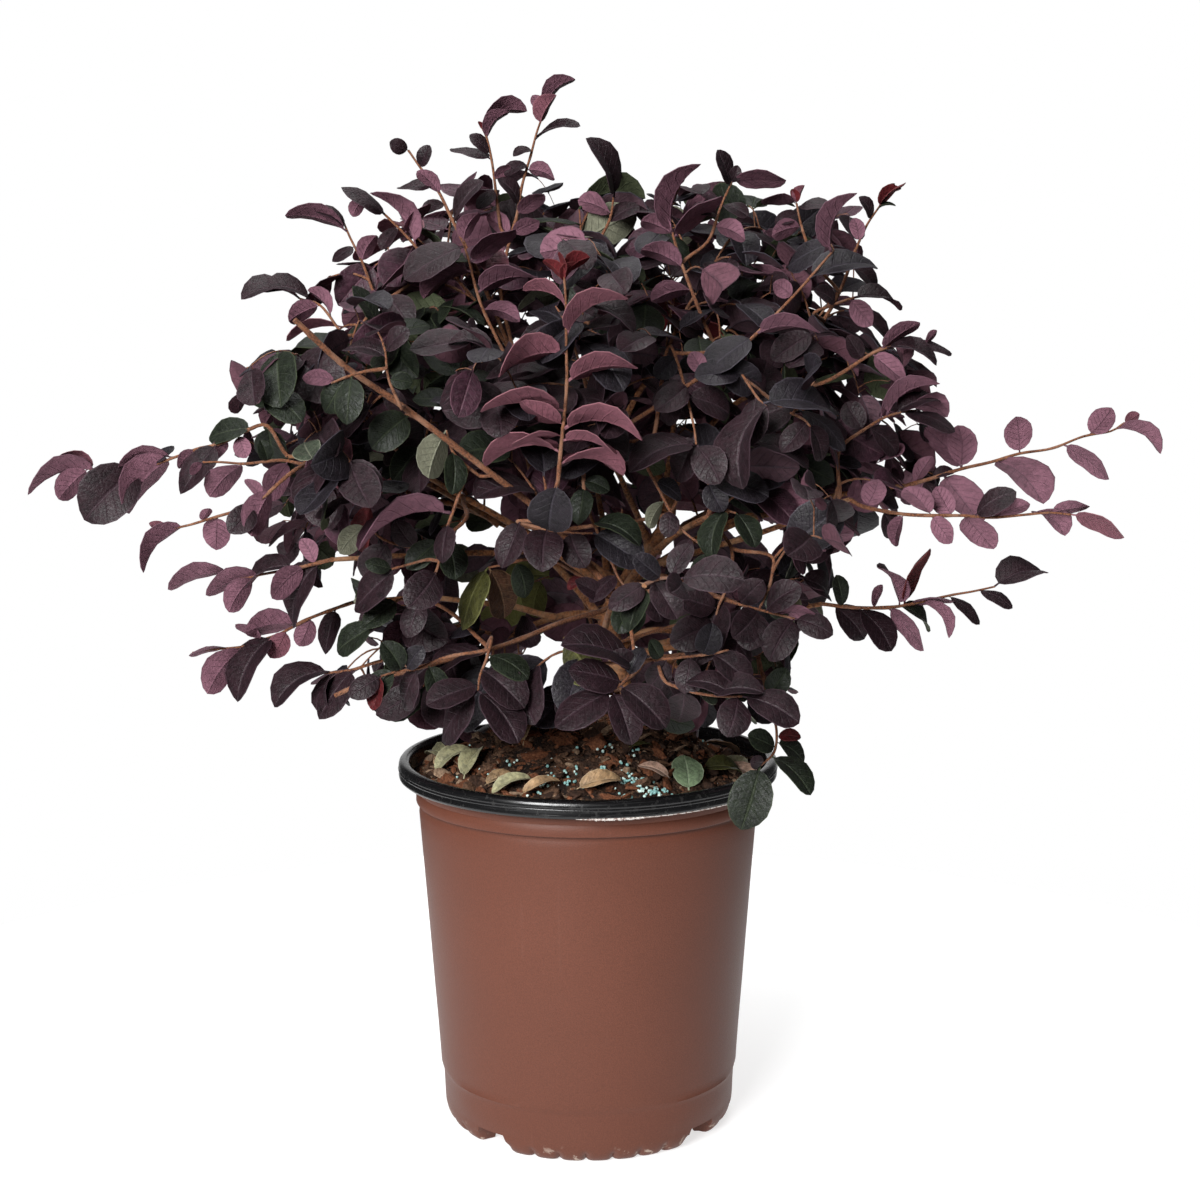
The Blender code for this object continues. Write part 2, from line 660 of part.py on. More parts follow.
class Foliage:
    """One mass as it grows: a stem, its twigs and their leaves, each kept only where there is room."""

    def __init__(self, mass, space, obstacles, seed):
        self.mass = mass
        self.space = space
        self.obstacles = obstacles
        self.chance = random.Random(seed)
        self.stalks = []
        self.samples = []
        self.roots = []
        self.leaves = []

    def add_stalk(self, path, base, tip):
        self.stalks.append((path, base, tip))
        length = path_length(path)
        count = max(2, int(length / SAMPLE_STEP))
        samples = [place_along(path, i / count)[0] for i in range(count + 1)]
        self.samples += samples
        self.roots += [point for point in samples if (point - path[0]).length > BARE_START]

    def path_fits(self, path, root):
        """Samples a stalk's path for the room, the limbs, the leaves and the other stalks."""
        count = max(2, int(path_length(path) / SAMPLE_STEP))
        for i in range(count + 1):
            point, _ = place_along(path, i / count)
            if not self.space.holds(point):
                return False
            if any(touches(tree, point, TWIG_RADIUS + LIMB_MARGIN) for tree in self.obstacles):
                return False
            if (point - root).length < STALK_ROOT:
                continue
            if any(touches(tree, point, TWIG_RADIUS * STALK_FROM_LEAF) for tree, _, _ in self.leaves):
                return False
            others = (other for other in self.samples if (other - root).length > STALK_ROOT)
            if any((point - other).length < STALK_SPACING for other in others):
                return False
        return True

    def leaf_fits(self, mesh, tree, root, free):
        room = self.space.open_to if free else self.space.holds
        if not all(room(vert.co) for vert in mesh.vertices if (vert.co - root).length > LEAF_ROOT):
            return False
        if any(tree.overlap(other) for other in self.obstacles):
            return False
        if any(tree.overlap(other) for other, _, _ in self.leaves):
            return False
        reach = LEAF_LENGTH + STALK_ROOT
        near = [point for point in self.samples if STALK_ROOT < (point - root).length < reach]
        return not any(touches(tree, point, TWIG_RADIUS * LEAF_FROM_STALK) for point in near)

    def add_leaf(self, root, along, face, size=1.0, free=False):
        mesh = leaf_mesh(root, along, face, LEAF_LENGTH * size, LEAF_WIDTH * size)
        tree = tree_of(mesh)
        if not self.leaf_fits(mesh, tree, root, free):
            return False
        self.leaves.append((tree, mesh, root + along.normalized() * LEAF_LENGTH * 0.5 * size))
        return True

    def leaves_along(self, path, first):
        """Leaves in two ranks, left and right by turns, after one at the tip."""
        length = path_length(path)
        _, heading = place_along(path, 1.0)
        self.tip_leaf(path[-1], heading)
        rank = self.chance.choice((-1.0, 1.0))
        place = first
        while place < length - LAST_LEAF:
            point, tangent = place_along(path, place / length)
            side = tangent.cross(UP).normalized() * rank
            for droop in LEAF_DROOPS:
                along = tangent * math.cos(LEAF_ANGLE) + side * math.sin(LEAF_ANGLE) - UP * droop
                face = outward_face(point) + side * self.chance.uniform(-LEAF_TURN, LEAF_TURN)
                if self.add_leaf(point, along, face, self.chance.uniform(*LEAF_SIZES)):
                    break
            rank = -rank
            place += LEAF_STEP

    def tip_leaf(self, point, heading):
        for droop in TIP_LEAF_DROOPS:
            face = outward_face(point) + heading * self.chance.uniform(*TIP_LEAF_TURNS)
            sunk = point - heading * TIP_LEAF_SUNK
            if self.add_leaf(sunk, heading - UP * droop, face, self.chance.uniform(*TIP_LEAF_SIZES)):
                return

    def add_twig(self, root, direction, length):
        """A twig that bends upwards; it is tried shorter where there is no room for its full length."""
        for share in TWIG_SHARES:
            if length * share < SHORTEST_TWIG:
                return
            end = root + direction * length * share
            path = arc_between(root, end, TWIG_LIFT * length, TWIG_SEGMENT)
            if self.path_fits(path, root):
                self.leafy_twig(path)
                return

    def leafy_twig(self, path):
        """Adds a twig and its leaves; one that no leaf finds room on is left out."""
        kept = len(self.stalks), len(self.samples), len(self.roots), len(self.leaves)
        self.add_stalk(path, TWIG_RADIUS, TWIG_TIP_RADIUS)
        self.leaves_along(path, FIRST_LEAF)
        if len(self.leaves) == kept[3]:
            del self.stalks[kept[0]:], self.samples[kept[1]:], self.roots[kept[2]:]

    def reach_towards(self, point, direction):
        """Distance from the point to the room's skin, along the direction."""
        reach = 0.0
        while reach < FURTHEST_REACH and self.space.holds(point + direction * reach):
            reach += REACH_STEP
        return reach

    def first_twigs(self, stem):
        """Twigs at the golden angle round the stem."""
        turn = self.chance.uniform(0.0, 2.0 * math.pi)
        count = max(2, round(path_length(stem) / FIRST_TWIG_STEP))
        start = BARE_START / path_length(stem)
        for number in range(count):
            point, tangent = place_along(stem, start + (LAST_TWIG - start) * (number + 0.5) / count)
            side = tangent.orthogonal().normalized()
            side.rotate(Matrix.Rotation(turn + number * GOLDEN_ANGLE, 3, tangent))
            direction = (tangent * math.cos(TWIG_ANGLE) + side * math.sin(TWIG_ANGLE)).normalized()
            length = self.reach_towards(point, direction) - ROOM_FOR_TIP_LEAF * LEAF_LENGTH
            self.add_twig(point, direction, min(LONGEST_TWIG, length))

    def open_place(self):
        """Of some places in the room, the one furthest from the leaves that are there already."""
        best, widest = None, 0.0
        for _ in range(FILL_PLACES):
            offset = Vector([self.chance.uniform(-1.0, 1.0) for _ in range(3)])
            steps = [axis * share for axis, share in zip(self.space.axes, offset)]
            point = self.space.centre + sum(steps, Vector())
            if offset.length > FILL_WITHIN or not self.space.holds(point):
                continue
            room = min(((point - middle).length for _, _, middle in self.leaves), default=1.0)
            if room > widest:
                best, widest = point, room
        return best

    def fill(self):
        """More twigs, each from the nearest stalk towards an open place, until the leaves are enough."""
        for _ in range(self.mass.leaves * FILL_TRIES_PER_LEAF):
            if len(self.leaves) >= self.mass.leaves:
                return
            place = self.open_place()
            if place is None:
                continue
            root = min(self.roots, key=lambda point: (point - place).length)
            away = place - root
            if away.length < NEAREST_FILL:
                continue
            length = away.length - ROOM_FOR_FILL_LEAF * LEAF_LENGTH
            self.add_twig(root, away.normalized(), min(LONGEST_TWIG, length))

    def grow(self, foot, heading):
        stem = self.shoot_path(foot) if isinstance(self.mass, Shoot) else self.stem_path(foot)
        stem.insert(1, foot + heading * STEM_COLLAR)
        self.add_stalk(stem, STEM_RADIUS, TWIG_RADIUS)
        self.leaves_along(stem, FIRST_STEM_LEAF)
        if isinstance(self.mass, Mound):
            self.first_twigs(stem)
        self.fill()

    def stem_path(self, foot):
        """The stem goes on from the bough and bends up and outwards through the room."""
        outward = Vector((self.space.centre.x - TRUNK_FOOT.x, self.space.centre.y - TRUNK_FOOT.y, 0.0))
        lean = (outward.normalized() * STEM_LEAN[0] + UP * STEM_LEAN[1]).normalized()
        head = self.space.centre + Vector([lean[i] * self.mass.radii[i] for i in range(3)]) * STEM_REACH
        if self.mass.name == "spire":
            head = self.end_leaf(SUMMIT, SUMMIT_HEADING)
        while not self.space.holds(head):
            head = head.lerp(foot, STEM_DRAW_BACK)
        return arc_between(foot, head, STEM_LIFT * (head - foot).length, STEM_SEGMENT)

    def end_leaf(self, tip, along):
        """Puts a leaf whose point is the given tip, and gives the place where its stalk ends."""
        along = along.normalized()
        face = (END_LEAF_FACE - along * END_LEAF_FACE.dot(along)).normalized()
        root = tip - along * LEAF_LENGTH + leaf_curl(face, LEAF_LENGTH)
        if not self.add_leaf(root, along, face, 1.0, free=True):
            raise ValueError(self.mass.name + " has no room for its last leaf")
        return root + along * TIP_LEAF_SUNK

    def shoot_path(self, foot):
        """The shoot's stem ends at the root of its last leaf, whose point is the shoot's tip."""
        tip = Vector(self.mass.tip)
        end = self.end_leaf(tip, (tip - foot).normalized() - UP * SHOOT_LEAF_DROOP)
        return arc_between(foot, end, self.mass.sag, STEM_SEGMENT)

    def make(self, name, collection, material, outline):
        """Joins stem, twigs and leaves into one solid."""
        joining = bpy.data.collections.new(name + "_pieces")
        bpy.context.scene.collection.children.link(joining)
        stalk_meshes = []
        for path, base, tip in self.stalks:
            stalk_meshes.append(curve_mesh(path, tapered(len(path), base, tip), outline=outline))
        body = mesh_object(name, stalk_meshes[0], collection, material)
        for mesh in stalk_meshes[1:] + [mesh for _, mesh, _ in self.leaves]:
            mesh_object(name + "_piece", mesh, joining)
        join_with(body, joining)
        joined = evaluated_mesh(body)
        body.modifiers.clear()
        body.data = joined
        joined.materials.clear()
        joined.materials.append(material)
        for item in list(joining.objects):
            bpy.data.objects.remove(item)
        bpy.data.collections.remove(joining)


def main():
    clear_scene()
    parts = new_collection(OBJECT_NAME)
    cutters = new_collection("cutters")
    cutters.hide_render = True
    plastic = new_material("pot_plastic", *PLASTIC_FINISH)
    soil = new_material("soil", *SOIL_FINISH)
    bark = new_material("bark", *BARK_FINISH)
    leaf = new_material("leaf", *LEAF_FINISH)

    pot = make_pot(parts, cutters, plastic)
    ground = make_soil(parts, soil)
    trunk = make_trunk()
    limbs = {"trunk": trunk}
    mesh_object("trunk", trunk.mesh, parts, bark)

    spaces = {mass.name: Space(mass) for mass in MASSES}
    for space in spaces.values():
        for other in spaces.values():
            if other is not space:
                space.add_plane_towards(other)

    for mass in MASSES:
        limb = make_bough(mass, spaces[mass.name], limbs)
        limbs[mass.name] = limb
        bough = mesh_object("bough_" + mass.name, limb.mesh, parts, bark)
        if mass.along < 1.0:
            fat = mesh_object("clear_of_" + mass.parent, limbs[mass.parent].fat_mesh, cutters)
            as_cutter(fat)
            cut_away(bough, fat)

    outline = triangle_outline(cutters)
    base_obstacles = [tree_of(evaluated_mesh(pot)), tree_of(evaluated_mesh(ground))]
    for number, mass in enumerate(MASSES):
        own = limbs[mass.name]
        heading = (own.path[-1] - own.path[-2]).normalized()
        foot = own.path[-1] + heading * GAP
        obstacles = base_obstacles + [limb.guard for limb in limbs.values() if limb is not own]
        obstacles.append(tree_of(own.fat_mesh))
        foliage = Foliage(mass, spaces[mass.name], obstacles, number + 1)
        foliage.grow(foot, heading)
        foliage.make("foliage_" + mass.name, parts, leaf, outline)


main()
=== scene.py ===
# %% [markdown]
# # A potted fringe flower
# A purple-leaved fringe flower grows in a moulded nursery pot. The solids of the pot, its soil, the trunk and
# every bough are already packed in one frame, so this lesson dresses them: each solid is replaced by a piece that
# has the real surface, in the same place. We start by loading the frame. The plant's reach is given further on,
# and no twig or leaf grows out of it.

import json
import math
import random

import bmesh
import bpy
from mathutils import Matrix, Vector, noise

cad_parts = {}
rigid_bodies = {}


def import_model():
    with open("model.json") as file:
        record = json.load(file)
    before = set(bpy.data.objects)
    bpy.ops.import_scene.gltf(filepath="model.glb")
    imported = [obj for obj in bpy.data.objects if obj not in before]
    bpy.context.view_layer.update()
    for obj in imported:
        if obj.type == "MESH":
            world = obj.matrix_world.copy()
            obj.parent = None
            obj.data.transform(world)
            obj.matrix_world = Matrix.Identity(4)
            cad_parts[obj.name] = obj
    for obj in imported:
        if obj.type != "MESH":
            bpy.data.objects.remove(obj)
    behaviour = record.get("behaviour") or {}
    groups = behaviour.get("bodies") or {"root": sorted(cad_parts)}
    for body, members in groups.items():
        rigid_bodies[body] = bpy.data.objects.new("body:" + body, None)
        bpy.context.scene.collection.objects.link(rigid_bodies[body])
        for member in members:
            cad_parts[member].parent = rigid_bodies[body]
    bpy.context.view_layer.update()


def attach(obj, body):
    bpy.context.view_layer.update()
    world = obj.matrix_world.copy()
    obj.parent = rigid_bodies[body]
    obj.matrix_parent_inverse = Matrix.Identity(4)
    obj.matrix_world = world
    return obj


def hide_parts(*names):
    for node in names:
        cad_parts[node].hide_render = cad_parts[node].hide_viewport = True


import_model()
scene = bpy.context.scene
noise.seed_set(12)  # noise vectors start from a seed; a fixed one makes every run the same
UP = Vector((0.0, 0.0, 1.0))

# %% [markdown]
# ## The camera
# The photograph is square and looks slightly down on the plant from a little over a metre. A camera fitted to the
# ellipses of the pot's rim and foot gives the place, the tilt and the lens below, so the plant falls on the same
# spot of the frame as in the photograph. The tiny roll is part of the fit.

# %% The camera
CAMERA_PLACE = Vector((0.0076, -1.0809, 0.4459))
CAMERA_TILT = math.radians(6.7991)
CAMERA_ROLL = math.radians(-0.1292)
camera_data = bpy.data.cameras.new("studio_camera")
camera_data.lens = 54.15
camera_data.sensor_width = 36.0
camera = bpy.data.objects.new("studio_camera", camera_data)
turned = Matrix.Rotation(math.radians(90.0) - CAMERA_TILT, 4, "X") @ Matrix.Rotation(CAMERA_ROLL, 4, "Z")
camera.matrix_world = Matrix.Translation(CAMERA_PLACE) @ turned
scene.collection.objects.link(camera)
scene.camera = camera
print("camera looks down by", round(math.degrees(CAMERA_TILT), 1), "degrees")

# %% [markdown]
# ## Writing a finish as sums
# A finish is a material made of nodes. Typing out every node and link is long, so a small class wraps the output of
# a node and lets Python's own signs add the Math nodes: `1 - mask` or `grain * 0.3` then read as they mean.
# Colours never go through Math nodes, which would turn them grey; they are blended with a Mix node.


# %% A class for shader sums
class Value:
    """One output of a node; the signs + - * / add the Math node of the same meaning."""

    def __init__(self, finish, socket):
        self.finish = finish
        self.socket = socket

    def sum(self, operation, first, second):
        return self.finish.node("ShaderNodeMath", {"operation": operation}, {0: first, 1: second})

    def __add__(self, other):
        return self.sum("ADD", self, other)

    def __radd__(self, other):
        return self.sum("ADD", other, self)

    def __sub__(self, other):
        return self.sum("SUBTRACT", self, other)

    def __rsub__(self, other):
        return self.sum("SUBTRACT", other, self)

    def __mul__(self, other):
        return self.sum("MULTIPLY", self, other)

    def __rmul__(self, other):
        return self.sum("MULTIPLY", other, self)

    def __truediv__(self, other):
        return self.sum("DIVIDE", self, other)

    def __abs__(self):
        return self.sum("ABSOLUTE", self, 0.0)

    def wave(self):
        """Falls and rises between nought and one, once for each whole number."""
        return self.sum("PINGPONG", self, 0.5) * 2.0


# %% A class for finishes
class Finish:
    """A material under way: its nodes come from node(), and end() leads the results to the shader."""

    def __init__(self, name, fixed):
        self.material = bpy.data.materials.new(name)
        self.material.use_nodes = True
        self.tree = self.material.node_tree
        self.shader = self.tree.nodes["Principled BSDF"]
        for socket, value in fixed.items():
            self.shader.inputs[socket].default_value = value

    def node(self, kind, settings, sockets, output=0):
        """Adds a node: its settings are made first, and then its sockets get values or links."""
        made = self.tree.nodes.new(kind)
        for name, value in settings.items():
            setattr(made, name, value)
        for key, value in sockets.items():
            if isinstance(value, Value):
                self.tree.links.new(value.socket, made.inputs[key])
            else:
                made.inputs[key].default_value = value
        return Value(self, made.outputs[output])

    def place(self):
        return self.node("ShaderNodeTexCoord", {}, {}, "Object")

    def part_of(self, vector, axis):
        return self.node("ShaderNodeSeparateXYZ", {}, {0: vector}, axis)

    def cloud(self, scale, detail=2.0, vector=None):
        """Soft noise, whose size goes as one over the scale."""
        vector = vector or self.place()
        return self.node("ShaderNodeTexNoise", {}, {"Vector": vector, "Scale": scale, "Detail": detail}, "Fac")

    def cells(self, scale):
        return self.node("ShaderNodeTexVoronoi", {}, {"Vector": self.place(), "Scale": scale}, "Distance")

    def stretched(self, factors):
        """The object's own coordinates, drawn out or pressed along each axis."""
        settings = {"operation": "MULTIPLY"}
        return self.node("ShaderNodeVectorMath", settings, {0: self.place(), 1: factors}, "Vector")

    def band(self, value, low, high):
        """Nought under low, one over high, and smooth between."""
        settings = {"interpolation_type": "SMOOTHSTEP"}
        return self.node("ShaderNodeMapRange", settings, {"Value": value, "From Min": low, "From Max": high})

    def blend(self, share, first, second):
        """Mixes two colours; a plain colour is three numbers."""
        first, second = [c if isinstance(c, Value) else (*c, 1.0) for c in (first, second)]
        return self.node("ShaderNodeMix", {"data_type": "RGBA"}, {0: share, 6: first, 7: second}, 2)

    def end(self, colour, roughness=None, height=None, depth=0.0002):
        """Links colour, roughness and relief, and hands back the finished material."""
        links = self.tree.links
        links.new(colour.socket, self.shader.inputs["Base Color"])
        if roughness:
            links.new(roughness.socket, self.shader.inputs["Roughness"])
        if height:
            bump = self.node("ShaderNodeBump", {}, {"Strength": 1.0, "Distance": depth, "Height": height})
            links.new(bump.socket, self.shader.inputs["Normal"])
        return self.material


# %% [markdown]
# ## Floor and light
# The plant stands on a small pale table in a plain studio. Behind it the studio is white, all round it is dimmer,
# which keeps dark leaves and the black rim dark and lets the round pot darken towards its edges. One large lamp at
# the front left gives form, one above fills. The table glows a little, as the light tables of product studios do,
# so that the plant's shadow stays soft. It is stage, so it isn't part of the object.

# %% Floor and light
TABLE_RADIUS = 0.62
BACK_LIGHT, LEFT_LIGHT, RIGHT_LIGHT = 1.0, 0.03, 0.06


def add_table():
    sides = 96
    rim = [(TABLE_RADIUS * math.cos(2.0 * math.pi * i / sides), TABLE_RADIUS * math.sin(2.0 * math.pi * i / sides), 0.0) for i in range(sides)]
    mesh = bpy.data.meshes.new("studio_table")
    mesh.from_pydata(rim, [], [tuple(range(sides))])
    table = bpy.data.objects.new("studio_table", mesh)
    scene.collection.objects.link(table)
    glow = {"Roughness": 0.9, "Specular IOR Level": 0.1, "Emission Color": (1.0, 1.0, 1.0, 1.0), "Emission Strength": 0.70}
    finish = Finish("table_paint", glow)
    mesh.materials.append(finish.end(finish.blend(finish.cloud(3.0) * 0.05, (0.50, 0.50, 0.50), (0.46, 0.46, 0.46))))


def add_world():
    """White to the eye; as a light it is white in a cone behind the plant and dim on the left and on the right."""
    world = scene.world or bpy.data.worlds.new("studio")
    scene.world = world
    world.use_nodes = True
    nodes, links = world.node_tree.nodes, world.node_tree.links
    way = nodes.new("ShaderNodeTexCoord")
    split = nodes.new("ShaderNodeSeparateXYZ")
    ramp = nodes.new("ShaderNodeMapRange")
    ramp.interpolation_type = "SMOOTHSTEP"
    ramp.inputs["From Min"].default_value = 0.88
    ramp.inputs["From Max"].default_value = 0.97
    ramp.inputs["To Max"].default_value = BACK_LIGHT
    side = nodes.new("ShaderNodeMapRange")
    side.inputs["From Min"].default_value = -1.0
    side.inputs["To Min"].default_value = LEFT_LIGHT
    side.inputs["To Max"].default_value = RIGHT_LIGHT
    links.new(way.outputs["Generated"], split.inputs[0])
    links.new(split.outputs["Y"], ramp.inputs["Value"])
    links.new(split.outputs["X"], side.inputs["Value"])
    links.new(side.outputs[0], ramp.inputs["To Min"])
    eye = nodes.new("ShaderNodeLightPath")
    most = nodes.new("ShaderNodeMath")
    most.operation = "MAXIMUM"
    links.new(ramp.outputs[0], most.inputs[0])
    links.new(eye.outputs["Is Camera Ray"], most.inputs[1])
    links.new(most.outputs[0], nodes["Background"].inputs["Strength"])
    nodes["Background"].inputs["Color"].default_value = (1.0, 1.0, 1.0, 1.0)


def add_lamp(name, place, target, size, power):
    data = bpy.data.lights.new(name, "AREA")
    data.shape = "SQUARE"
    data.size = size
    data.energy = power
    lamp = bpy.data.objects.new(name, data)
    lamp.location = place
    lamp.rotation_euler = (Vector(target) - Vector(place)).to_track_quat("-Z", "Y").to_euler()
    lamp.visible_camera = False
    lamp.visible_glossy = place[1] < 1.0
    scene.collection.objects.link(lamp)


add_table()
add_world()
add_lamp("front_left_lamp", (-0.92, -2.0, 1.15), (0.0, 0.0, 0.25), 1.0, 88.0)
add_lamp("back_lamp", (0.5, 2.2, 1.5), (0.0, 0.0, 0.25), 1.2, 30.0)
add_lamp("top_lamp", (-0.1, 0.2, 2.3), (0.0, 0.0, 0.3), 1.6, 30.0)
scene.view_settings.view_transform = "Standard"
print("lamps:", len(bpy.data.lights))


# %% [markdown]
# ## Small helpers
# Every finished piece does the same three things: it rides on the one body, it hides the solids that it replaces,
# and it carries its finishes. A smooth step and a mesh-to-object helper are used all over the lesson too.


# %% Small helpers
def smooth(value, low, high):
    """Nought under low, one over high, and a soft rise between."""
    share = min(1.0, max(0.0, (value - low) / (high - low)))
    return share * share * (3.0 - 2.0 * share)


def piece(name, mesh, nodes, finishes=()):
    """Makes a mesh a finished piece that stands for the named solids."""
    made = bpy.data.objects.new(name, mesh)
    scene.collection.objects.link(made)
    for finish in finishes:
        mesh.materials.append(finish)
    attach(made, "root")
    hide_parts(*nodes)
    return made


def mesh_from(work, name, smooth_faces=True):
    """Closes a bmesh: doubles merged, faces turned outwards, shaded smooth."""
    bmesh.ops.remove_doubles(work, verts=work.verts, dist=0.000005)
    bmesh.ops.recalc_face_normals(work, faces=work.faces)
    for face in work.faces:
        face.smooth = smooth_faces
    mesh = bpy.data.meshes.new(name)
    work.to_mesh(mesh)
    work.free()
    return mesh


def sharpen(mesh, angle):
    """Marks the edges that turn by more than the angle as sharp, so that the shading breaks there."""
    work = bmesh.new()
    work.from_mesh(mesh)
    for edge in work.edges:
        edge.smooth = not (edge.is_manifold and edge.calc_face_angle(0.0) > angle)
    work.to_mesh(mesh)
    work.free()


def spun(name, profile, steps, warp=None):
    """A closed skin turned about the pot's axis; a profile point with no radius closes it on the axis."""
    work = bmesh.new()
    rings = []
    for radius, height in profile:
        ring = []
        for step in range(steps if radius > 0.0 else 1):
            angle = 2.0 * math.pi * step / steps
            r, z = warp(angle, radius, height) if warp else (radius, height)
            ring.append(work.verts.new((r * math.cos(angle), r * math.sin(angle), z)))
        rings.append(ring)
    pairs = list(zip(rings, rings[1:]))
    if profile[0][0] > 0.0:
        pairs.append((rings[-1], rings[0]))
    for one, other in pairs:
        for step in range(steps):
            after = (step + 1) % steps
            corners = [one[step % len(one)], one[after % len(one)], other[after % len(other)], other[step % len(other)]]
            corners = [c for i, c in enumerate(corners) if c not in corners[:i]]
            if len(corners) > 2:
                work.faces.new(corners)
    return mesh_from(work, name)


# %% [markdown]
# ## The pot's brown wall
# The real pot is moulded in two layers: a brown skin outside and black plastic inside, which also forms the rim.
# The brown wall is a shape turned about one axis, so its section is given in millimetres and spun. Three things
# aren't round: the four feet, the gaps between them and the seven small bumps that each foot's edge is scalloped
# into. They come from bending the spun skin as it is made, which keeps it one closed surface. The soft ledge over
# each foot fades towards the gaps, as it does on the real pot.

# %% The section of the wall
FEET = 4
BUMPS = 7
FOOT_MIDDLE = math.radians(-85.5)
HALF_GAP = math.radians(7.5)
FOOT_GAP_HEIGHT = 0.0117
WALL_SECTION = (
    (103.0, 210.2), (104.1, 209.8), (104.2, 204.4), (103.8, 203.6), (104.3, 202.6), (104.5, 197.4), (104.3, 196.8),
    (103.6, 196.5), (102.3, 196.2), (102.0, 195.4), (102.4, 193.6), (102.7, 190.0), (101.9, 180.0), (100.0, 156.0), (98.2, 132.0), (96.4, 108.0),
    (94.6, 84.0), (92.8, 60.0), (91.7, 44.0), (91.3, 38.0), (91.1, 34.6), (90.6, 32.6), (89.9, 31.2), (89.6, 29.4),
    (89.4, 26.0), (89.1, 20.0), (88.9, 15.0), (88.8, 12.4), (88.7, 11.0), (88.6, 9.6), (88.3, 8.0), (87.8, 6.2),
    (87.1, 4.6), (86.1, 3.0), (84.9, 1.7), (83.6, 0.7), (82.2, 0.1), (81.2, 0.0), (75.4, 0.0), (74.4, 0.5),
    (73.9, 2.4), (73.0, 11.7), (60.0, 11.7), (0.0, 11.7),
)
WALL_INSIDE = ((0.0, 13.2), (86.0, 13.2), (88.2, 20.0), (89.9, 40.0), (101.2, 192.0), (102.2, 209.6))


def foot_places(angle):
    """How far the angle is from the middle of its foot, as a share of half the foot, and which bump it is on."""
    half_foot = math.pi / FEET - HALF_GAP
    turn = (angle - FOOT_MIDDLE + math.pi / FEET) % (2.0 * math.pi / FEET) - math.pi / FEET
    return turn / half_foot, (turn / half_foot + 1.0) / 2.0 * BUMPS


def bend_wall(angle, radius, height):
    """Lifts the lower edge in the gaps, scallops the feet and fades the ledge between them."""
    share, bump = foot_places(angle)
    lift = FOOT_GAP_HEIGHT * smooth(abs(share), 0.985, 1.03)
    if 0.012 < height < 0.034 and radius > 0.08:
        fade = smooth(abs(share), 0.35, 1.0)
        radius += 0.0013 * fade * smooth(height, 0.012, 0.020)
    if radius > 0.078 and height < 0.0095:
        hollow = abs(2.0 * (bump % 1.0) - 1.0) ** 4
        radius -= 0.0034 * hollow * (1.0 - smooth(height, 0.0035, 0.0095))
        lift = max(lift, 0.0014 * hollow)
    radius += 0.00012 * noise.noise(Vector((math.cos(angle) * 2.0, math.sin(angle) * 2.0, height * 30.0)))
    return radius, max(height, lift)


# %% [markdown]
# The finish of the wall is a brown plastic with a satin skin. It has a very fine grain, faint cloudy changes of
# colour from the moulding, thin upright rub marks and, on the bumps of the feet, pale scuffs from being slid
# over concrete. Each of these is a noise of its own size. Two bands by height are painted shade: a dark line just
# under the collar's ledge, and a darkening of the wall towards its foot.


# %% The brown plastic
def brown_plastic():
    finish = Finish("brown_plastic", {"Specular IOR Level": 0.24})
    clouds = finish.cloud(14.0, 3.0)
    grain = finish.cloud(1500.0, 2.0)
    rubs = finish.band(finish.cloud(1.0, 3.0, finish.stretched((150.0, 150.0, 14.0))), 0.66, 0.85)
    height = finish.part_of(finish.place(), "Z")
    low = 1.0 - finish.band(height, 0.004, 0.012)
    scuffs = finish.band(finish.cloud(170.0, 4.0), 0.60, 0.68) * low
    # Painted shade: a dark band of colour just under the collar's ledge, where the ledge's shadow falls.
    painted_shade_under_ledge = finish.band(height, 0.1935, 0.1960) * (1.0 - finish.band(height, 0.1962, 0.1968))
    colour = finish.blend(clouds, (0.116, 0.0385, 0.0230), (0.146, 0.049, 0.0300))
    colour = finish.blend(finish.band(grain, 0.35, 0.65) * 0.4, colour, (0.075, 0.027, 0.017))
    # Painted shade: the wall's colour darkens towards the foot, over its lowest 15 cm.
    colour = finish.blend((1.0 - finish.band(height, 0.0, 0.15)) * 0.22, colour, (0.072, 0.024, 0.015))
    colour = finish.blend(painted_shade_under_ledge * 0.5, colour, (0.045, 0.015, 0.010))
    colour = finish.blend(rubs * 0.05, colour, (0.42, 0.24, 0.20))
    colour = finish.blend(scuffs * 0.55, colour, (0.55, 0.46, 0.38))
    roughness = 0.40 + clouds * 0.10 + grain * 0.06 + scuffs * 0.2
    return finish.end(colour, roughness, grain, 0.00012)


section = [(r / 1000.0, z / 1000.0) for r, z in WALL_SECTION + WALL_INSIDE]
wall_mesh = spun("pot_wall", section, 432, bend_wall)
sharpen(wall_mesh, math.radians(40.0))
piece("pot_wall", wall_mesh, ["pot"], [brown_plastic()])
print("pot_wall faces:", len(wall_mesh.polygons))

# %% [markdown]
# ## The black rim and lining
# The rim is a lip rolled outwards, with one fine bead round it. It is the glossiest thing on the pot. The same
# black plastic lines the pot inside, down past the soil, so the lining and the rim are one spun piece. Its lower
# edge is trimmed in the mould, and along the front the trimming has left a thin pale rag of torn plastic.

# %% The black rim
RIM_SECTION = (
    (100.7, 207.6), (106.6, 211.6), (107.5, 212.6), (107.8, 216.5), (107.9, 219.4), (108.3, 221.1), (109.2, 222.2),
    (110.4, 222.5), (112.3, 222.4), (113.6, 221.8), (114.4, 220.7), (114.7, 219.4), (114.7, 218.4), (114.5, 217.9),
    (114.9, 217.5), (115.0, 217.1), (114.9, 216.7), (114.4, 216.3), (114.5, 215.4), (114.7, 213.6), (114.5, 212.6),
    (113.9, 212.1), (113.2, 212.3), (113.0, 213.0), (112.9, 217.0), (112.3, 219.6), (110.4, 220.2), (109.7, 218.4),
    (109.5, 211.3), (105.0, 210.8), (101.6, 208.2), (100.6, 192.0), (89.2, 40.0), (87.5, 19.5), (85.0, 14.2),
    (0.0, 14.2), (0.0, 15.2), (84.2, 15.2), (86.4, 20.0), (88.1, 40.0), (100.0, 194.0),
)
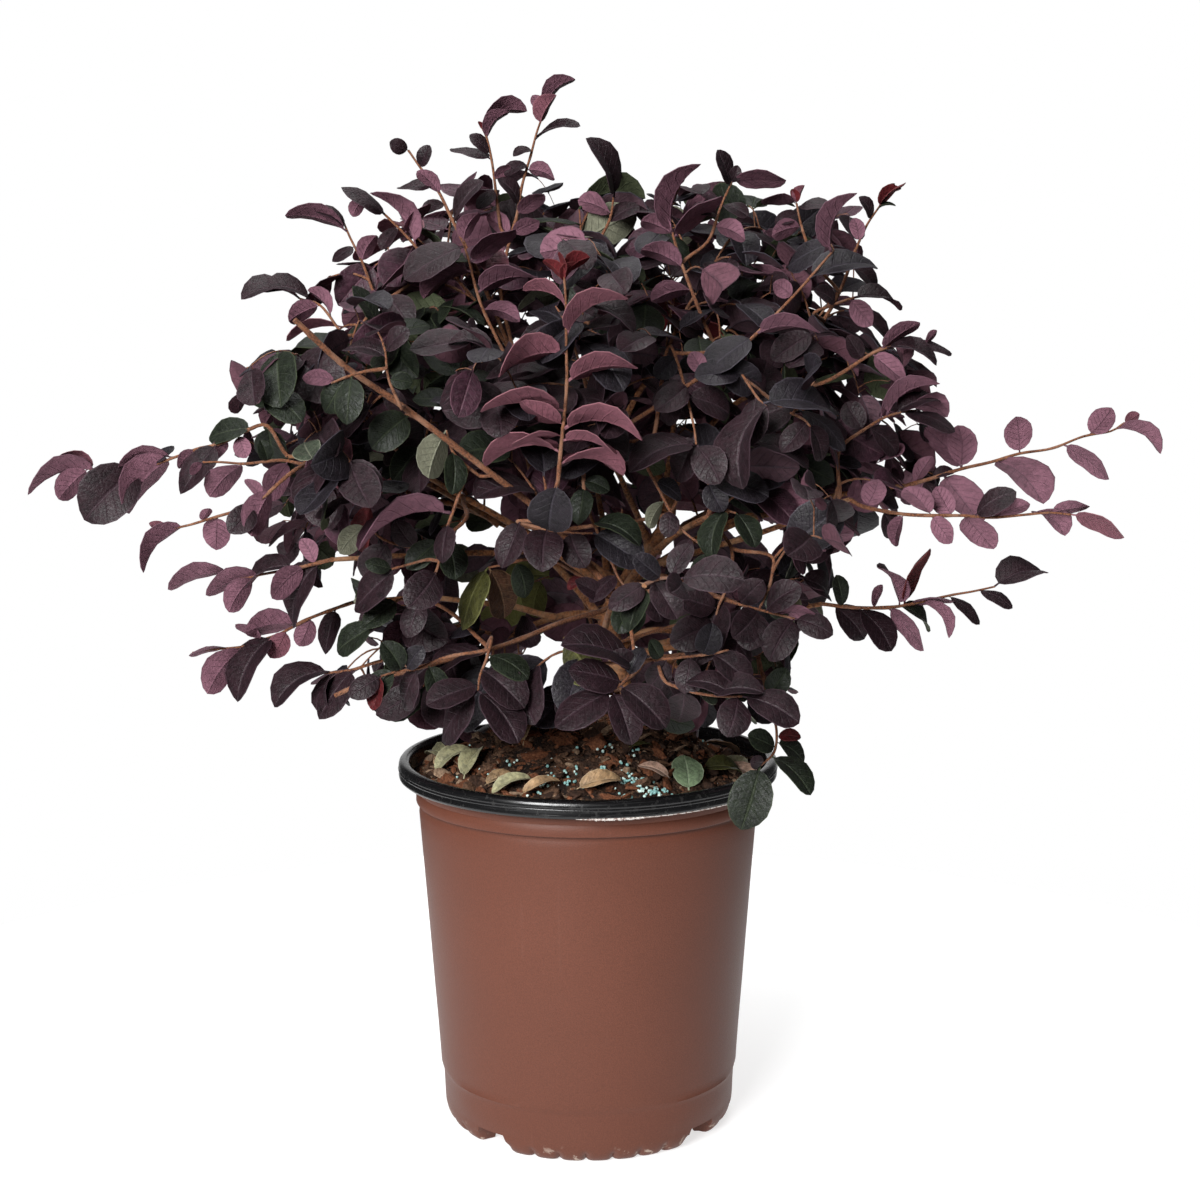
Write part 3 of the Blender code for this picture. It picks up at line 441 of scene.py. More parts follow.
RIM_DIP = 0.0025  # how far the soft rim has sunk at the front; at the back it stands as much higher


def bend_rim(angle, radius, height):
    """The rim dips to the front and wanders a little, as thin plastic does; the lining below stays straight."""
    wander = noise.noise(Vector((math.cos(angle) * 1.5, math.sin(angle) * 1.5, 4.0)))
    upper = smooth(height, 0.2, 0.212)
    return radius + 0.0002 * wander, height + (RIM_DIP * math.sin(angle) + 0.0003 * wander) * upper


def black_plastic():
    finish = Finish("black_plastic", {"Specular IOR Level": 0.55})
    dust = finish.band(finish.cloud(300.0, 4.0), 0.55, 0.8)
    scratches = finish.band(finish.cloud(1.0, 4.0, finish.stretched((40.0, 40.0, 1500.0))), 0.58, 0.75)
    colour = finish.blend(dust * 0.08 + scratches * 0.05, (0.0045, 0.0045, 0.005), (0.22, 0.21, 0.20))
    roughness = 0.25 + dust * 0.22 + scratches * 0.12
    return finish.end(colour, roughness, scratches * 0.5 + dust * 0.2, 0.00005)


section = [(r / 1000.0, z / 1000.0) for r, z in RIM_SECTION]
rim_mesh = spun("pot_rim", section, 288, bend_rim)
sharpen(rim_mesh, math.radians(50.0))
piece("pot_rim", rim_mesh, ["pot"], [black_plastic()])
print("pot_rim faces:", len(rim_mesh.polygons))


# %% The torn edge under the rim
TORN_FROM, TORN_TO = math.radians(-93.0), math.radians(-44.0)


def torn_edge():
    """A thin rag that runs round under the rim's outer edge; its width wanders and it has small lumps."""
    work = bmesh.new()
    rings = []
    steps = 240
    for step in range(steps + 1):
        share = step / steps
        angle = TORN_FROM + (TORN_TO - TORN_FROM) * share
        rag = 0.5 + 0.5 * noise.noise(Vector((share * 46.0, 0.0, 0.0))) + 0.5 * noise.noise(Vector((share * 150.0, 7.0, 0.0)))
        lumps = smooth(share, 0.05, 0.12) * (1.0 - smooth(share, 0.32, 0.45))
        ends = smooth(share, 0.0, 0.04) * (1.0 - smooth(share, 0.96, 1.0))
        drop = (0.0001 + 0.0003 * rag + 0.0009 * lumps * max(0.0, rag)) * ends
        stand = 0.0001 + 0.0005 * lumps * abs(rag)
        inner, outer, low = 0.1134, 0.1142 + stand * ends, 0.2121 + RIM_DIP * math.sin(angle)
        corners = [(inner, low + 0.0007), (outer, low + 0.0005), (outer, low - drop), (inner + 0.0003, low - 0.0002 - drop)]
        rings.append([work.verts.new((r * math.cos(angle), r * math.sin(angle), z)) for r, z in corners])
    for one, other in zip(rings, rings[1:]):
        for k in range(4):
            work.faces.new([one[k], one[(k + 1) % 4], other[(k + 1) % 4], other[k]])
    work.faces.new(rings[0])
    work.faces.new(rings[-1])
    return mesh_from(work, "torn_edge")


def torn_plastic():
    finish = Finish("torn_plastic", {"Specular IOR Level": 0.3})
    spots = finish.cloud(700.0, 3.0)
    colour = finish.blend(finish.band(spots, 0.35, 0.62), (0.20, 0.11, 0.09), (0.66, 0.62, 0.58))
    return finish.end(colour, 0.55 + spots * 0.2, spots, 0.0001)


piece("torn_edge", torn_edge(), ["pot"], [torn_plastic()])
print("the torn edge runs over", round(math.degrees(TORN_TO - TORN_FROM)), "degrees")

# %% [markdown]
# ## The potting mix
# The mix is coarse bark, peat and fine crumbs, mounded a little round the trunk. The body of it is a spun skin
# with relief, made by moving each point by noise of two sizes. On top of it lie loose pieces: chips of bark,
# crumbs, white perlite, turquoise beads of fertiliser and fallen leaves. Loose pieces that repeat are scattered by
# Geometry Nodes; the beads lie where somebody once dropped them from a spoon, so they get their own places.

# %% The body of the mix
MOUTH = 0.1078
SOIL_EDGE, SOIL_TOP, SOIL_FLAT = 0.2125, 0.2400, 0.0360


def soil_height(x, y):
    """The mound, falling smoothly from the trunk to the mouth, with coarse and fine lumps."""
    away = math.hypot(x, y)
    share = min(1.0, max(0.0, (away - SOIL_FLAT) / (MOUTH - SOIL_FLAT)))
    height = SOIL_EDGE + (SOIL_TOP - SOIL_EDGE) * 0.5 * (1.0 + math.cos(math.pi * share))
    lumps = 0.0030 * noise.noise(Vector((x * 70.0, y * 70.0, 0.0))) + 0.0016 * noise.noise(Vector((x * 190.0, y * 190.0, 5.0)))
    crumbs = 0.0009 * noise.noise(Vector((x * 520.0, y * 520.0, 9.0)))
    return height + (lumps + crumbs) * (1.0 - 0.5 * smooth(away, 0.098, 0.107))


def soil_skin():
    work = bmesh.new()
    rings, steps, last = [[work.verts.new((0.0, 0.0, soil_height(0.0, 0.0)))]], 220, 0.1070
    count = 62
    for number in range(1, count + 1):
        radius = last * (number / count) ** 0.9
        ring = []
        for step in range(steps):
            angle = 2.0 * math.pi * (step + 0.5 * (number % 2)) / steps
            x, y = radius * math.cos(angle), radius * math.sin(angle)
            ring.append(work.verts.new((x, y, soil_height(x, y))))
        rings.append(ring)
    for radius, height in ((0.1005, 0.2060), (0.0990, 0.1900), (0.0870, 0.0400), (0.0830, 0.0160)):
        rings.append([work.verts.new((radius * math.cos(2.0 * math.pi * s / steps), radius * math.sin(2.0 * math.pi * s / steps), height)) for s in range(steps)])
    rings.append([work.verts.new((0.0, 0.0, 0.0160))])
    for one, other in zip(rings, rings[1:]):
        for step in range(steps):
            after = (step + 1) % steps
            corners = [one[step % len(one)], one[after % len(one)], other[after % len(other)], other[step % len(other)]]
            work.faces.new([c for i, c in enumerate(corners) if c not in corners[:i]])
    return mesh_from(work, "potting_mix")


def mix_finish():
    finish = Finish("potting_mix", {"Specular IOR Level": 0.25})
    clods_and_hollow_shade = finish.cloud(130.0, 5.0)
    crumbs = finish.cells(620.0)
    # The mix's browns vary with the relief's own noise and run to a very dark brown in its hollows: painted shade
    # there.
    colour = finish.blend(finish.band(clods_and_hollow_shade, 0.38, 0.66), (0.010, 0.0055, 0.0038), (0.085, 0.042, 0.024))
    colour = finish.blend(finish.band(finish.cloud(420.0, 3.0), 0.58, 0.70) * 0.7, colour, (0.26, 0.15, 0.09))
    return finish.end(colour, 0.82 + crumbs * 0.12, clods_and_hollow_shade + crumbs * 0.8, 0.0012)


soil_mesh = soil_skin()
piece("potting_mix", soil_mesh, ["potting_soil"], [mix_finish()])
print("potting_mix faces:", len(soil_mesh.polygons))

# %% [markdown]
# ## Geometry Nodes by name
# Geometry Nodes make whatever repeats: chips, beads, leaves, twigs. This class builds such a tree in code. A tree
# has named inputs for its sizes, and it ends by making its copies real and giving them their finishes. Running it
# puts it on a throw-away object, reads the result as a plain mesh and removes the object again.


# %% A class for Geometry Nodes trees
class Steps:
    """A Geometry Nodes tree under way; add() puts in a node and hands back one of its outputs."""

    def __init__(self, name, inputs):
        self.tree = bpy.data.node_groups.new(name, "GeometryNodeTree")
        face = self.tree.interface
        face.new_socket("Geometry", in_out="INPUT", socket_type="NodeSocketGeometry")
        for label, kind in inputs.items():
            face.new_socket(label, in_out="INPUT", socket_type="NodeSocket" + kind)
        face.new_socket("Geometry", in_out="OUTPUT", socket_type="NodeSocketGeometry")
        self.start = self.tree.nodes.new("NodeGroupInput")

    def given(self, label):
        return self.start.outputs[label]

    def socket(self, sockets, key):
        if isinstance(key, int):
            return sockets[key]
        return next(s for s in sockets if s.enabled and s.name == key)

    def add(self, kind, settings, sockets, output=0):
        made = self.tree.nodes.new(kind)
        for name, value in settings.items():
            setattr(made, name, value)
        for key, value in sockets.items():
            socket = self.socket(made.inputs, key)
            if isinstance(value, bpy.types.NodeSocket):
                self.tree.links.new(value, socket)
            else:
                socket.default_value = value
        return self.socket(made.outputs, output)

    def attribute(self, name, kind):
        return self.add("GeometryNodeInputNamedAttribute", {"data_type": kind}, {"Name": name}, "Attribute")

    def between(self, low, high, seed, kind="FLOAT"):
        sockets = {"Min": low, "Max": high, "Seed": seed}
        return self.add("FunctionNodeRandomValue", {"data_type": kind}, sockets, "Value")

    def finish_by_number(self, geometry, number, finishes):
        """Gives each face the finish whose number it carries."""
        for code, finish in finishes.items():
            same = self.add("FunctionNodeCompare", {"data_type": "INT", "operation": "EQUAL"}, {2: number, 3: code}, "Result")
            sockets = {"Geometry": geometry, "Selection": same, "Material": finish}
            geometry = self.add("GeometryNodeSetMaterial", {}, sockets)
        return geometry

    def end(self, geometry):
        out = self.tree.nodes.new("NodeGroupOutput")
        self.tree.links.new(geometry, out.inputs[0])

    def run(self, mesh, values):
        """The plain mesh that the tree makes of the given one."""
        holder = bpy.data.objects.new("holder", mesh)
        scene.collection.objects.link(holder)
        modifier = holder.modifiers.new("steps", "NODES")
        modifier.node_group = self.tree
        for item in self.tree.interface.items_tree:
            if item.in_out == "INPUT" and item.name in values:
                modifier[item.identifier] = values[item.name]
        bpy.context.view_layer.update()
        made = bpy.data.meshes.new_from_object(holder.evaluated_get(bpy.context.evaluated_depsgraph_get()))
        bpy.data.objects.remove(holder)
        return made


def kinds_of(name, meshes):
    """A hidden collection with one object for each shape that a scatter may pick."""
    made = bpy.data.collections.new(name)
    for number, mesh in enumerate(meshes):
        made.objects.link(bpy.data.objects.new(f"{name}_{number:02d}", mesh))
    return made


# %% [markdown]
# ## Bark chips, crumbs and perlite
# A chip is a small block that has been split and weathered: a ball of few faces, pressed flat, with its corners
# moved about. A handful of different ones, turned and sized at random, is enough for the eye. The tree spreads
# points over the mix, stands a chip on each, makes the copies real and gives each chip one of three browns by a
# number stored on its faces.

# %% Chip shapes and the scatter tree


def chip_mesh(number, chance, flat, faces_kind):
    work = bmesh.new()
    bmesh.ops.create_icosphere(work, subdivisions=faces_kind, radius=0.5)
    size = Vector((1.0, chance.uniform(0.45, 0.8), flat * chance.uniform(0.7, 1.3)))
    for vert in work.verts:
        shift = noise.noise_vector(vert.co * 2.1 + Vector((number * 7.0, 0.0, 0.0)))
        vert.co = (vert.co + shift * 0.30) * size
    mesh = mesh_from(work, "chip", smooth_faces=False)
    tone = mesh.attributes.new("tone", "INT", "FACE")
    tone.data.foreach_set("value", [number % 4] * len(mesh.polygons))
    return mesh


def strand_mesh(number, chance):
    """A splinter or root thread: a long thin ball of few faces with a bend in it."""
    work = bmesh.new()
    bmesh.ops.create_uvsphere(work, u_segments=5, v_segments=7, radius=0.5)
    thick, bend = chance.uniform(0.05, 0.11), chance.uniform(-0.5, 0.5)
    for vert in work.verts:
        x, y, z = vert.co
        vert.co = (z, x * thick * 2.0 + bend * (z * z - 0.1), y * thick + 0.05 * math.sin(z * 7.0 + number))
    mesh = mesh_from(work, "strand", smooth_faces=False)
    mesh.attributes.new("tone", "INT", "FACE").data.foreach_set("value", [number % 4] * len(mesh.polygons))
    return mesh


def scatter_tree(name, finishes, tilt):
    steps = Steps(name, {"Kinds": "Collection", "Density": "Float", "Smallest": "Float", "Largest": "Float", "Seed": "Int"})
    sockets = {"Mesh": steps.given("Geometry"), "Density": steps.given("Density"), "Seed": steps.given("Seed")}
    points = steps.add("GeometryNodeDistributePointsOnFaces", {}, sockets, "Points")
    info = {"Collection": steps.given("Kinds"), "Separate Children": True, "Reset Children": True}
    kinds = steps.add("GeometryNodeCollectionInfo", {}, info)
    turn = steps.between((-tilt, -tilt, 0.0), (tilt, tilt, 6.2832), 3, "FLOAT_VECTOR")
    size = steps.between(steps.given("Smallest"), steps.given("Largest"), 5)
    sockets = {"Points": points, "Instance": kinds, "Pick Instance": True, "Rotation": turn, "Scale": size}
    placed = steps.add("GeometryNodeInstanceOnPoints", {}, sockets)
    real = steps.add("GeometryNodeRealizeInstances", {}, {"Geometry": placed})
    steps.end(steps.finish_by_number(real, steps.attribute("tone", "INT"), finishes))
    return steps


def wood_finish(name, dark, light, grain=900.0):
    finish = Finish(name, {"Specular IOR Level": 0.25})
    streaks = finish.cloud(1.0, 4.0, finish.stretched((grain, grain * 0.25, grain)))
    clouds = finish.cloud(160.0, 3.0)
    colour = finish.blend(finish.band(streaks, 0.35, 0.65) * 0.6 + clouds * 0.4, dark, light)
    return finish.end(colour, 0.72 + clouds * 0.2, streaks, 0.0006)


def mound_top(low, high):
    """An open skin of the mound's top between two radii, for points to be spread on."""
    work = bmesh.new()
    rows = []
    for ring in range(13):
        radius = low + (high - low) * ring / 12
        rows.append([work.verts.new((radius * math.cos(a), radius * math.sin(a), soil_height(radius * math.cos(a), radius * math.sin(a)))) for a in [2.0 * math.pi * s / 72 for s in range(72)]])
    for one, other in zip(rows, rows[1:]):
        for s in range(72):
            work.faces.new([one[s], other[s], other[(s + 1) % 72], one[(s + 1) % 72]])
    mesh = bpy.data.meshes.new("mound_top")
    work.to_mesh(mesh)
    work.free()
    return mesh


# %% Scatter the loose mix
chance = random.Random(11)
BARKS = {
    0: wood_finish("dark_bark_chip", (0.012, 0.006, 0.004), (0.062, 0.031, 0.019)),
    1: wood_finish("red_bark_chip", (0.060, 0.020, 0.010), (0.24, 0.092, 0.043)),
    2: wood_finish("brown_bark_chip", (0.036, 0.018, 0.011), (0.17, 0.092, 0.054)),
    3: wood_finish("pale_bark_chip", (0.13, 0.08, 0.05), (0.37, 0.25, 0.165)),
}
PERLITE = wood_finish("perlite", (0.55, 0.53, 0.50), (0.80, 0.78, 0.74))
chips = kinds_of("chip", [chip_mesh(n, chance, 0.34, 2) for n in (0, 1, 2, 4, 5, 6, 8, 9, 10, 3, 12, 14)])
crumbs = kinds_of("crumb", [chip_mesh(n, chance, 0.5, 1) for n in (0, 1, 2, 4, 5, 6, 8, 9, 13, 3)])
strands = kinds_of("strand", [strand_mesh(n, chance) for n in (1, 2, 3, 6, 7, 11)])
tree = scatter_tree("loose_bark", BARKS, 0.8)
flat = scatter_tree("loose_strands", BARKS, 0.25)
big = {"Kinds": chips, "Density": 12500.0, "Smallest": 0.0045, "Largest": 0.0155, "Seed": 4}
small = {"Kinds": crumbs, "Density": 62000.0, "Smallest": 0.0014, "Largest": 0.0050, "Seed": 8}
thin = {"Kinds": strands, "Density": 3600.0, "Smallest": 0.008, "Largest": 0.022, "Seed": 33}
grit = {"Kinds": crumbs, "Density": 3200.0, "Smallest": 0.0007, "Largest": 0.0017, "Seed": 21}
white = scatter_tree("perlite_grains", {n: PERLITE for n in range(4)}, 3.0)
LOOSE = (("bark_chips", tree, big), ("bark_crumbs", tree, small), ("bark_strands", flat, thin), ("perlite_grains", white, grit))
for name, steps, values in LOOSE:
    made = steps.run(mound_top(0.003, 0.1035), values)
    piece(name, made, ["potting_soil"])
    print(name, "triangles:", sum(len(face.vertices) - 2 for face in made.polygons))

# %% [markdown]
# ## Beads of fertiliser
# Slow-release fertiliser comes as small coated beads of turquoise. They lie in a few handfuls near the front edge,
# with strays between. The places of the handfuls are listed, and a seeded chance spreads the beads of each.

# %% Turquoise beads
HANDFULS = (  # x, y, spread, beads; all lengths in millimetres
    (11, -74, 3, 8), (21, -72, 3, 14), (16, -80, 3, 14), (22, -79, 3, 18), (29, -76, 3, 20), (34, -80, 4, 24),
    (39, -85, 3, 18), (45, -84, 3, 12), (22, -91, 3, 8), (26, -51, 3, 8), (10, -69, 2, 4), (-53, -58, 2, 5),
    (-44, -55, 2, 4), (-27, -77, 2, 5), (-21, -77, 3, 8), (-12, -80, 3, 7), (-9, -80, 3, 5), (1, -81, 3, 6),
    (-29, -87, 2, 3), (-20, -65, 2, 2), (-6, -72, 2, 4), (-36, -51, 2, 2), (12, -50, 3, 3), (7, -81, 3, 6),
    (4, -60, 24, 12), (-70, -40, 8, 4), (30, 60, 20, 12), (-50, 40, 20, 10), (70, 20, 12, 8),
)


def bead_spots():
    chance = random.Random(5)
    spots = []
    for x, y, spread, count in HANDFULS:
        for _ in range(count):
            across, deep = chance.gauss(x, spread) / 1000.0, chance.gauss(y, spread * 0.8) / 1000.0
            if math.hypot(across, deep) < 0.101:
                spots.append((across, deep, soil_height(across, deep) + 0.0018))
    mesh = bpy.data.meshes.new("bead_spots")
    mesh.from_pydata(spots, [], [])
    return mesh


def bead_finish():
    finish = Finish("turquoise_bead", {"Specular IOR Level": 0.5, "Coat Weight": 0.3, "Coat Roughness": 0.2})
    tint = finish.cloud(230.0, 1.0)
    colour = finish.blend(finish.band(tint, 0.42, 0.6), (0.24, 0.48, 0.46), (0.68, 0.86, 0.80))
    return finish.end(colour, 0.3 + tint * 0.2, finish.cloud(2500.0), 0.00008)


def bead_tree():
    steps = Steps("beads_on_spots", {"Smallest": "Float", "Largest": "Float", "Bead": "Material"})
    points = steps.add("GeometryNodeMeshToPoints", {}, {"Mesh": steps.given("Geometry")})
    ball = steps.add("GeometryNodeMeshUVSphere", {}, {"Segments": 8, "Rings": 6, "Radius": 1.0}, "Mesh")
    size = steps.between(steps.given("Smallest"), steps.given("Largest"), 2)
    placed = steps.add("GeometryNodeInstanceOnPoints", {}, {"Points": points, "Instance": ball, "Scale": size})
    real = steps.add("GeometryNodeRealizeInstances", {}, {"Geometry": placed})
    round_ball = steps.add("GeometryNodeSetShadeSmooth", {}, {"Geometry": real})
    steps.end(steps.add("GeometryNodeSetMaterial", {}, {"Geometry": round_ball, "Material": steps.given("Bead")}))
    return steps


values = {"Smallest": 0.00065, "Largest": 0.00105, "Bead": bead_finish()}
beads = bead_tree().run(bead_spots(), values)
piece("fertiliser_beads", beads, ["potting_soil"])
print("beads:", len(beads.vertices) // 42)

# %% [markdown]
# ## One leaf, in several bends
# A leaf of this shrub is a rounded oval with a short point and a short stalk. Its halves rise from the midrib like
# an open book, and the whole blade arches. One function makes it: rows of points from the stalk to the point, five
# across on the upper side and three below, with a thin edge between. The chord from the stalk to the point always
# has a length of one and lies along Y, so a leaf can be aimed by its two ends. Each point keeps its place on the
# blade as an attribute, which the finishes read for veins and edges.

# %% The leaf
LEAF_ROWS = (0.0, 0.08, 0.115, 0.21, 0.355, 0.525, 0.70, 0.845, 0.95, 1.0)
LEAF_HALVES = (0.016, 0.018, 0.125, 0.236, 0.318, 0.345, 0.322, 0.240, 0.118, 0.0)
LEAF_WIDTH = 0.69
LEAF_BENDS = (  # arch in radians, fold, roundness of the halves, twist in radians, sideways hook
    (0.25, 0.10, 0.10, 0.10, 0.02), (0.55, 0.16, 0.12, -0.15, -0.03), (0.95, 0.22, 0.14, 0.20, 0.03),
    (1.35, 0.32, 0.12, -0.25, 0.04), (0.50, 0.12, 0.16, 0.55, -0.04), (-0.30, 0.22, 0.10, -0.20, 0.03),
    (0.60, 0.60, 0.05, 0.25, 0.02), (0.70, -0.08, 0.14, 0.15, -0.03),
)
TOP_SIDE, UNDER_SIDE, EDGE_SIDE = 0, 1, 2


def leaf_spine(arch, hook):
    """The leaf's middle line for each row, with its slope, before the chord is laid along Y."""
    places, slopes, here = [], [], Vector((0.0, 0.0, 0.0))
    for number, row in enumerate(LEAF_ROWS):
        slope = arch * (0.5 - row)
        if number:
            here = here + Vector((0.0, math.cos(slope), math.sin(slope))) * (row - LEAF_ROWS[number - 1])
        places.append(here + Vector((hook * math.sin(math.pi * row), 0.0, 0.0)))
        slopes.append(slope)
    return places, slopes


def leaf_mesh(name, bend):
    arch, fold, roundness, twist, hook = bend
    places, slopes = leaf_spine(arch, hook)
    chord = places[-1]
    aim = chord.rotation_difference(Vector((0.0, 1.0, 0.0))).to_matrix() * (1.0 / chord.length)
    work = bmesh.new()
    spot = work.verts.layers.float_vector.new("leaf_place")
    side = work.faces.layers.int.new("leaf_side")

    def point(row, across, drop):
        half = LEAF_HALVES[row]
        rise = half * (fold * abs(across) + roundness * 2.0 * abs(across) * (1.0 - abs(across))) - drop
        rise += 0.014 * across * math.sin(LEAF_ROWS[row] * 11.0 + across)
        turn = twist * (LEAF_ROWS[row] - 0.4) * (1.0 if row > 1 else 0.3)
        offset = Matrix.Rotation(slopes[row], 3, "X") @ Matrix.Rotation(turn, 3, "Y") @ Vector((half * across, 0.0, rise))
        vert = work.verts.new(aim @ (places[row] + offset))
        vert[spot] = (across, LEAF_ROWS[row], 0.0)
        return vert

    last = len(LEAF_ROWS) - 1
    tip = point(last, 0.0, 0.002)
    tops = [[point(row, across, 0.0) for across in (-1.0, -0.5, 0.0, 0.5, 1.0)] for row in range(last)] + [[tip] * 5]
    unders = [[point(row, across, 0.010 if across else 0.016) for across in (-1.0, 0.0, 1.0)] for row in range(last)] + [[tip] * 3]

    def face(corners, kind):
        corners = [c for i, c in enumerate(corners) if c not in corners[:i]]
        if len(corners) > 2:
            made = work.faces.new(corners)
            made[side] = kind
            made.smooth = True

    for row in range(last):
        above, below, upper, lower = tops[row], unders[row], tops[row + 1], unders[row + 1]
        for k in range(4):
            face([above[k], above[k + 1], upper[k + 1], upper[k]], TOP_SIDE if row else EDGE_SIDE)
        for k in range(2):
            face([below[k], lower[k], lower[k + 1], below[k + 1]], UNDER_SIDE if row else EDGE_SIDE)
        face([above[0], upper[0], lower[0], below[0]], EDGE_SIDE)
        face([above[4], below[2], lower[2], upper[4]], EDGE_SIDE)
    face(tops[0] + unders[0][::-1], EDGE_SIDE)
    for edge in work.edges:
        kinds = {made[side] for made in edge.link_faces}
        middle = all(abs(vert[spot][0]) < 0.01 for vert in edge.verts)
        edge.smooth = len(kinds) == 1 and not middle
    bmesh.ops.recalc_face_normals(work, faces=work.faces)
    mesh = bpy.data.meshes.new(name)
    work.to_mesh(mesh)
    work.free()
    return mesh


leaf_shapes = [leaf_mesh(f"leaf_{n}", bend) for n, bend in enumerate(LEAF_BENDS)]
LEAF_KINDS = kinds_of("leaf_shape", leaf_shapes)
print("faces of one leaf:", len(leaf_shapes[0].polygons), "in", len(leaf_shapes), "bends")

# %% [markdown]
# ## Leaf finishes
# The leaves range from dark aubergine, through blue-black and the green-black of older leaves, to the pink of new
# shoots. Their undersides are felted and much paler. Each look has one finish for each side of the leaf, with
# paler veins that leave the midrib at a slant, a pale margin, cloudy shades, fine crinkles and specks of felt. The
# faint sheen is the same all over a leaf, so it is set on the shader's own sockets.


# %% Leaf finishes
def plain(red, green, blue):
    """A colour as a screen shows it, from nought to 255, turned into the shader's own scale."""
    return tuple((c / 255.0 / 12.92) if c <= 10 else ((c / 255.0 + 0.055) / 1.055) ** 2.4 for c in (red, green, blue))


LOOKS = {  # upper side, underside, veins
    "dark": ((33, 18, 23), (100, 66, 76), (68, 50, 58)),
    "blue": ((25, 20, 25), (90, 66, 74), (66, 61, 69)),
    "green": ((21, 27, 18), (76, 82, 60), (60, 68, 48)),
    "mauve": ((58, 33, 44), (130, 90, 104), (108, 76, 88)),
    "pink": ((100, 56, 66), (124, 78, 89), (140, 94, 102)),
    "red": ((78, 18, 22), (100, 34, 38), (116, 58, 58)),
    "olive": ((52, 52, 22), (88, 88, 48), (112, 112, 68)),
    "sage": ((50, 58, 46), (118, 118, 100), (134, 136, 118)),
    "brown": ((68, 44, 32), (108, 86, 68), (140, 110, 84)),
    "pale_green": ((116, 136, 104), (136, 148, 122), (170, 184, 154)),
    "dry_sage": ((150, 146, 112), (164, 160, 132), (184, 182, 152)),
    "dry_tan": ((160, 130, 96), (182, 156, 124), (198, 174, 142)),
    "dry_rose": ((170, 138, 120), (188, 160, 144), (202, 178, 162)),
}
LOOK_NUMBERS = {name: number for number, name in enumerate(LOOKS)}


def leaf_finish(name, colour, veins, felted):
    fixed = {"Sheen Weight": 0.012, "Sheen Roughness": 0.4, "Specular IOR Level": 0.16 if felted else 0.27}
    finish = Finish(name, fixed)
    finish.shader.inputs["Sheen Tint"].default_value = (0.86, 0.88, 1.0, 1.0)
    spot = finish.node("ShaderNodeAttribute", {"attribute_name": "leaf_place"}, {}, "Vector")
    across = abs(finish.part_of(spot, "X"))
    along = finish.part_of(spot, "Y")
    ribs = (along * 7.5 - across * 1.7).wave()
    lines = finish.band(ribs, 0.84, 0.97) * (1.0 - finish.band(across, 0.55, 0.95))
    midrib = 1.0 - finish.band(across, 0.03, 0.09)
    margin = finish.band(across, 0.92, 0.99)
    clouds = finish.band(finish.cloud(120.0, 3.0), 0.32, 0.68)
    crinkle = finish.cloud(430.0, 3.0)
    net = finish.band(finish.cells(520.0), 0.35, 0.75)
    felt = finish.band(finish.cloud(1500.0, 2.0), 0.50, 0.68)
    darker = tuple(c * (0.74 if felted else 0.42) for c in colour)
    lighter = tuple(min(1.0, c * (1.2 if felted else 1.5)) for c in colour)
    shade = finish.blend(clouds * 0.55 + finish.band(crinkle, 0.35, 0.65) * 0.45, darker, lighter)
    shade = finish.blend(felt * 0.15, shade, veins)
    shade = finish.blend(lines * 0.16 + midrib * 0.40 + net * 0.10, shade, veins)
    shade = finish.blend(margin * 0.7, shade, veins)
    rough = (0.64 if felted else 0.40) + crinkle * 0.18
    relief = (lines + midrib) * (0.8 if felted else -0.6) + crinkle * 0.8 - net * 0.25 + felt * 0.25
    return finish.end(shade, rough, relief, 0.0004)


def leaf_finishes():
    """One finish for each look and side; the number of a finish is three times its look plus its side."""
    made = {}
    for name, (top, under, veins) in LOOKS.items():
        code = 3 * LOOK_NUMBERS[name]
        veins = plain(*veins)
        made[code + TOP_SIDE] = leaf_finish(name + "_leaf_top", plain(*top), veins, False)
        made[code + UNDER_SIDE] = leaf_finish(name + "_leaf_underside", plain(*under), veins, True)
        made[code + EDGE_SIDE] = wood_finish(name + "_leaf_edge", tuple(c * 0.8 for c in veins), veins)
    return made


LEAF_FINISHES = leaf_finishes()
print("leaf finishes:", len(LEAF_FINISHES))


# %% The tree that sets leaves on points
def leaves_tree():
    """Each point carries a turn, a size, a bend and a look for its leaf."""
    steps = Steps("leaves_on_points", {"Leaves": "Collection"})
    info = {"Collection": steps.given("Leaves"), "Separate Children": True, "Reset Children": True}
    kinds = steps.add("GeometryNodeCollectionInfo", {}, info)
    points = steps.add("GeometryNodeMeshToPoints", {}, {"Mesh": steps.given("Geometry")})
    sockets = {"Points": points, "Instance": kinds, "Pick Instance": True, "Instance Index": steps.attribute("bend", "INT")}
    sockets["Rotation"] = steps.attribute("turn", "FLOAT_VECTOR")
    sockets["Scale"] = steps.attribute("size", "FLOAT_VECTOR")
    placed = steps.add("GeometryNodeInstanceOnPoints", {}, sockets)
    real = steps.add("GeometryNodeRealizeInstances", {}, {"Geometry": placed})
    three = steps.add("FunctionNodeIntegerMath", {"operation": "MULTIPLY"}, {0: steps.attribute("look", "INT"), 1: 3})
    code = steps.add("FunctionNodeIntegerMath", {"operation": "ADD"}, {0: three, 1: steps.attribute("leaf_side", "INT")})
    steps.end(steps.finish_by_number(real, code, LEAF_FINISHES))
    return steps


LEAVES_TREE = leaves_tree()


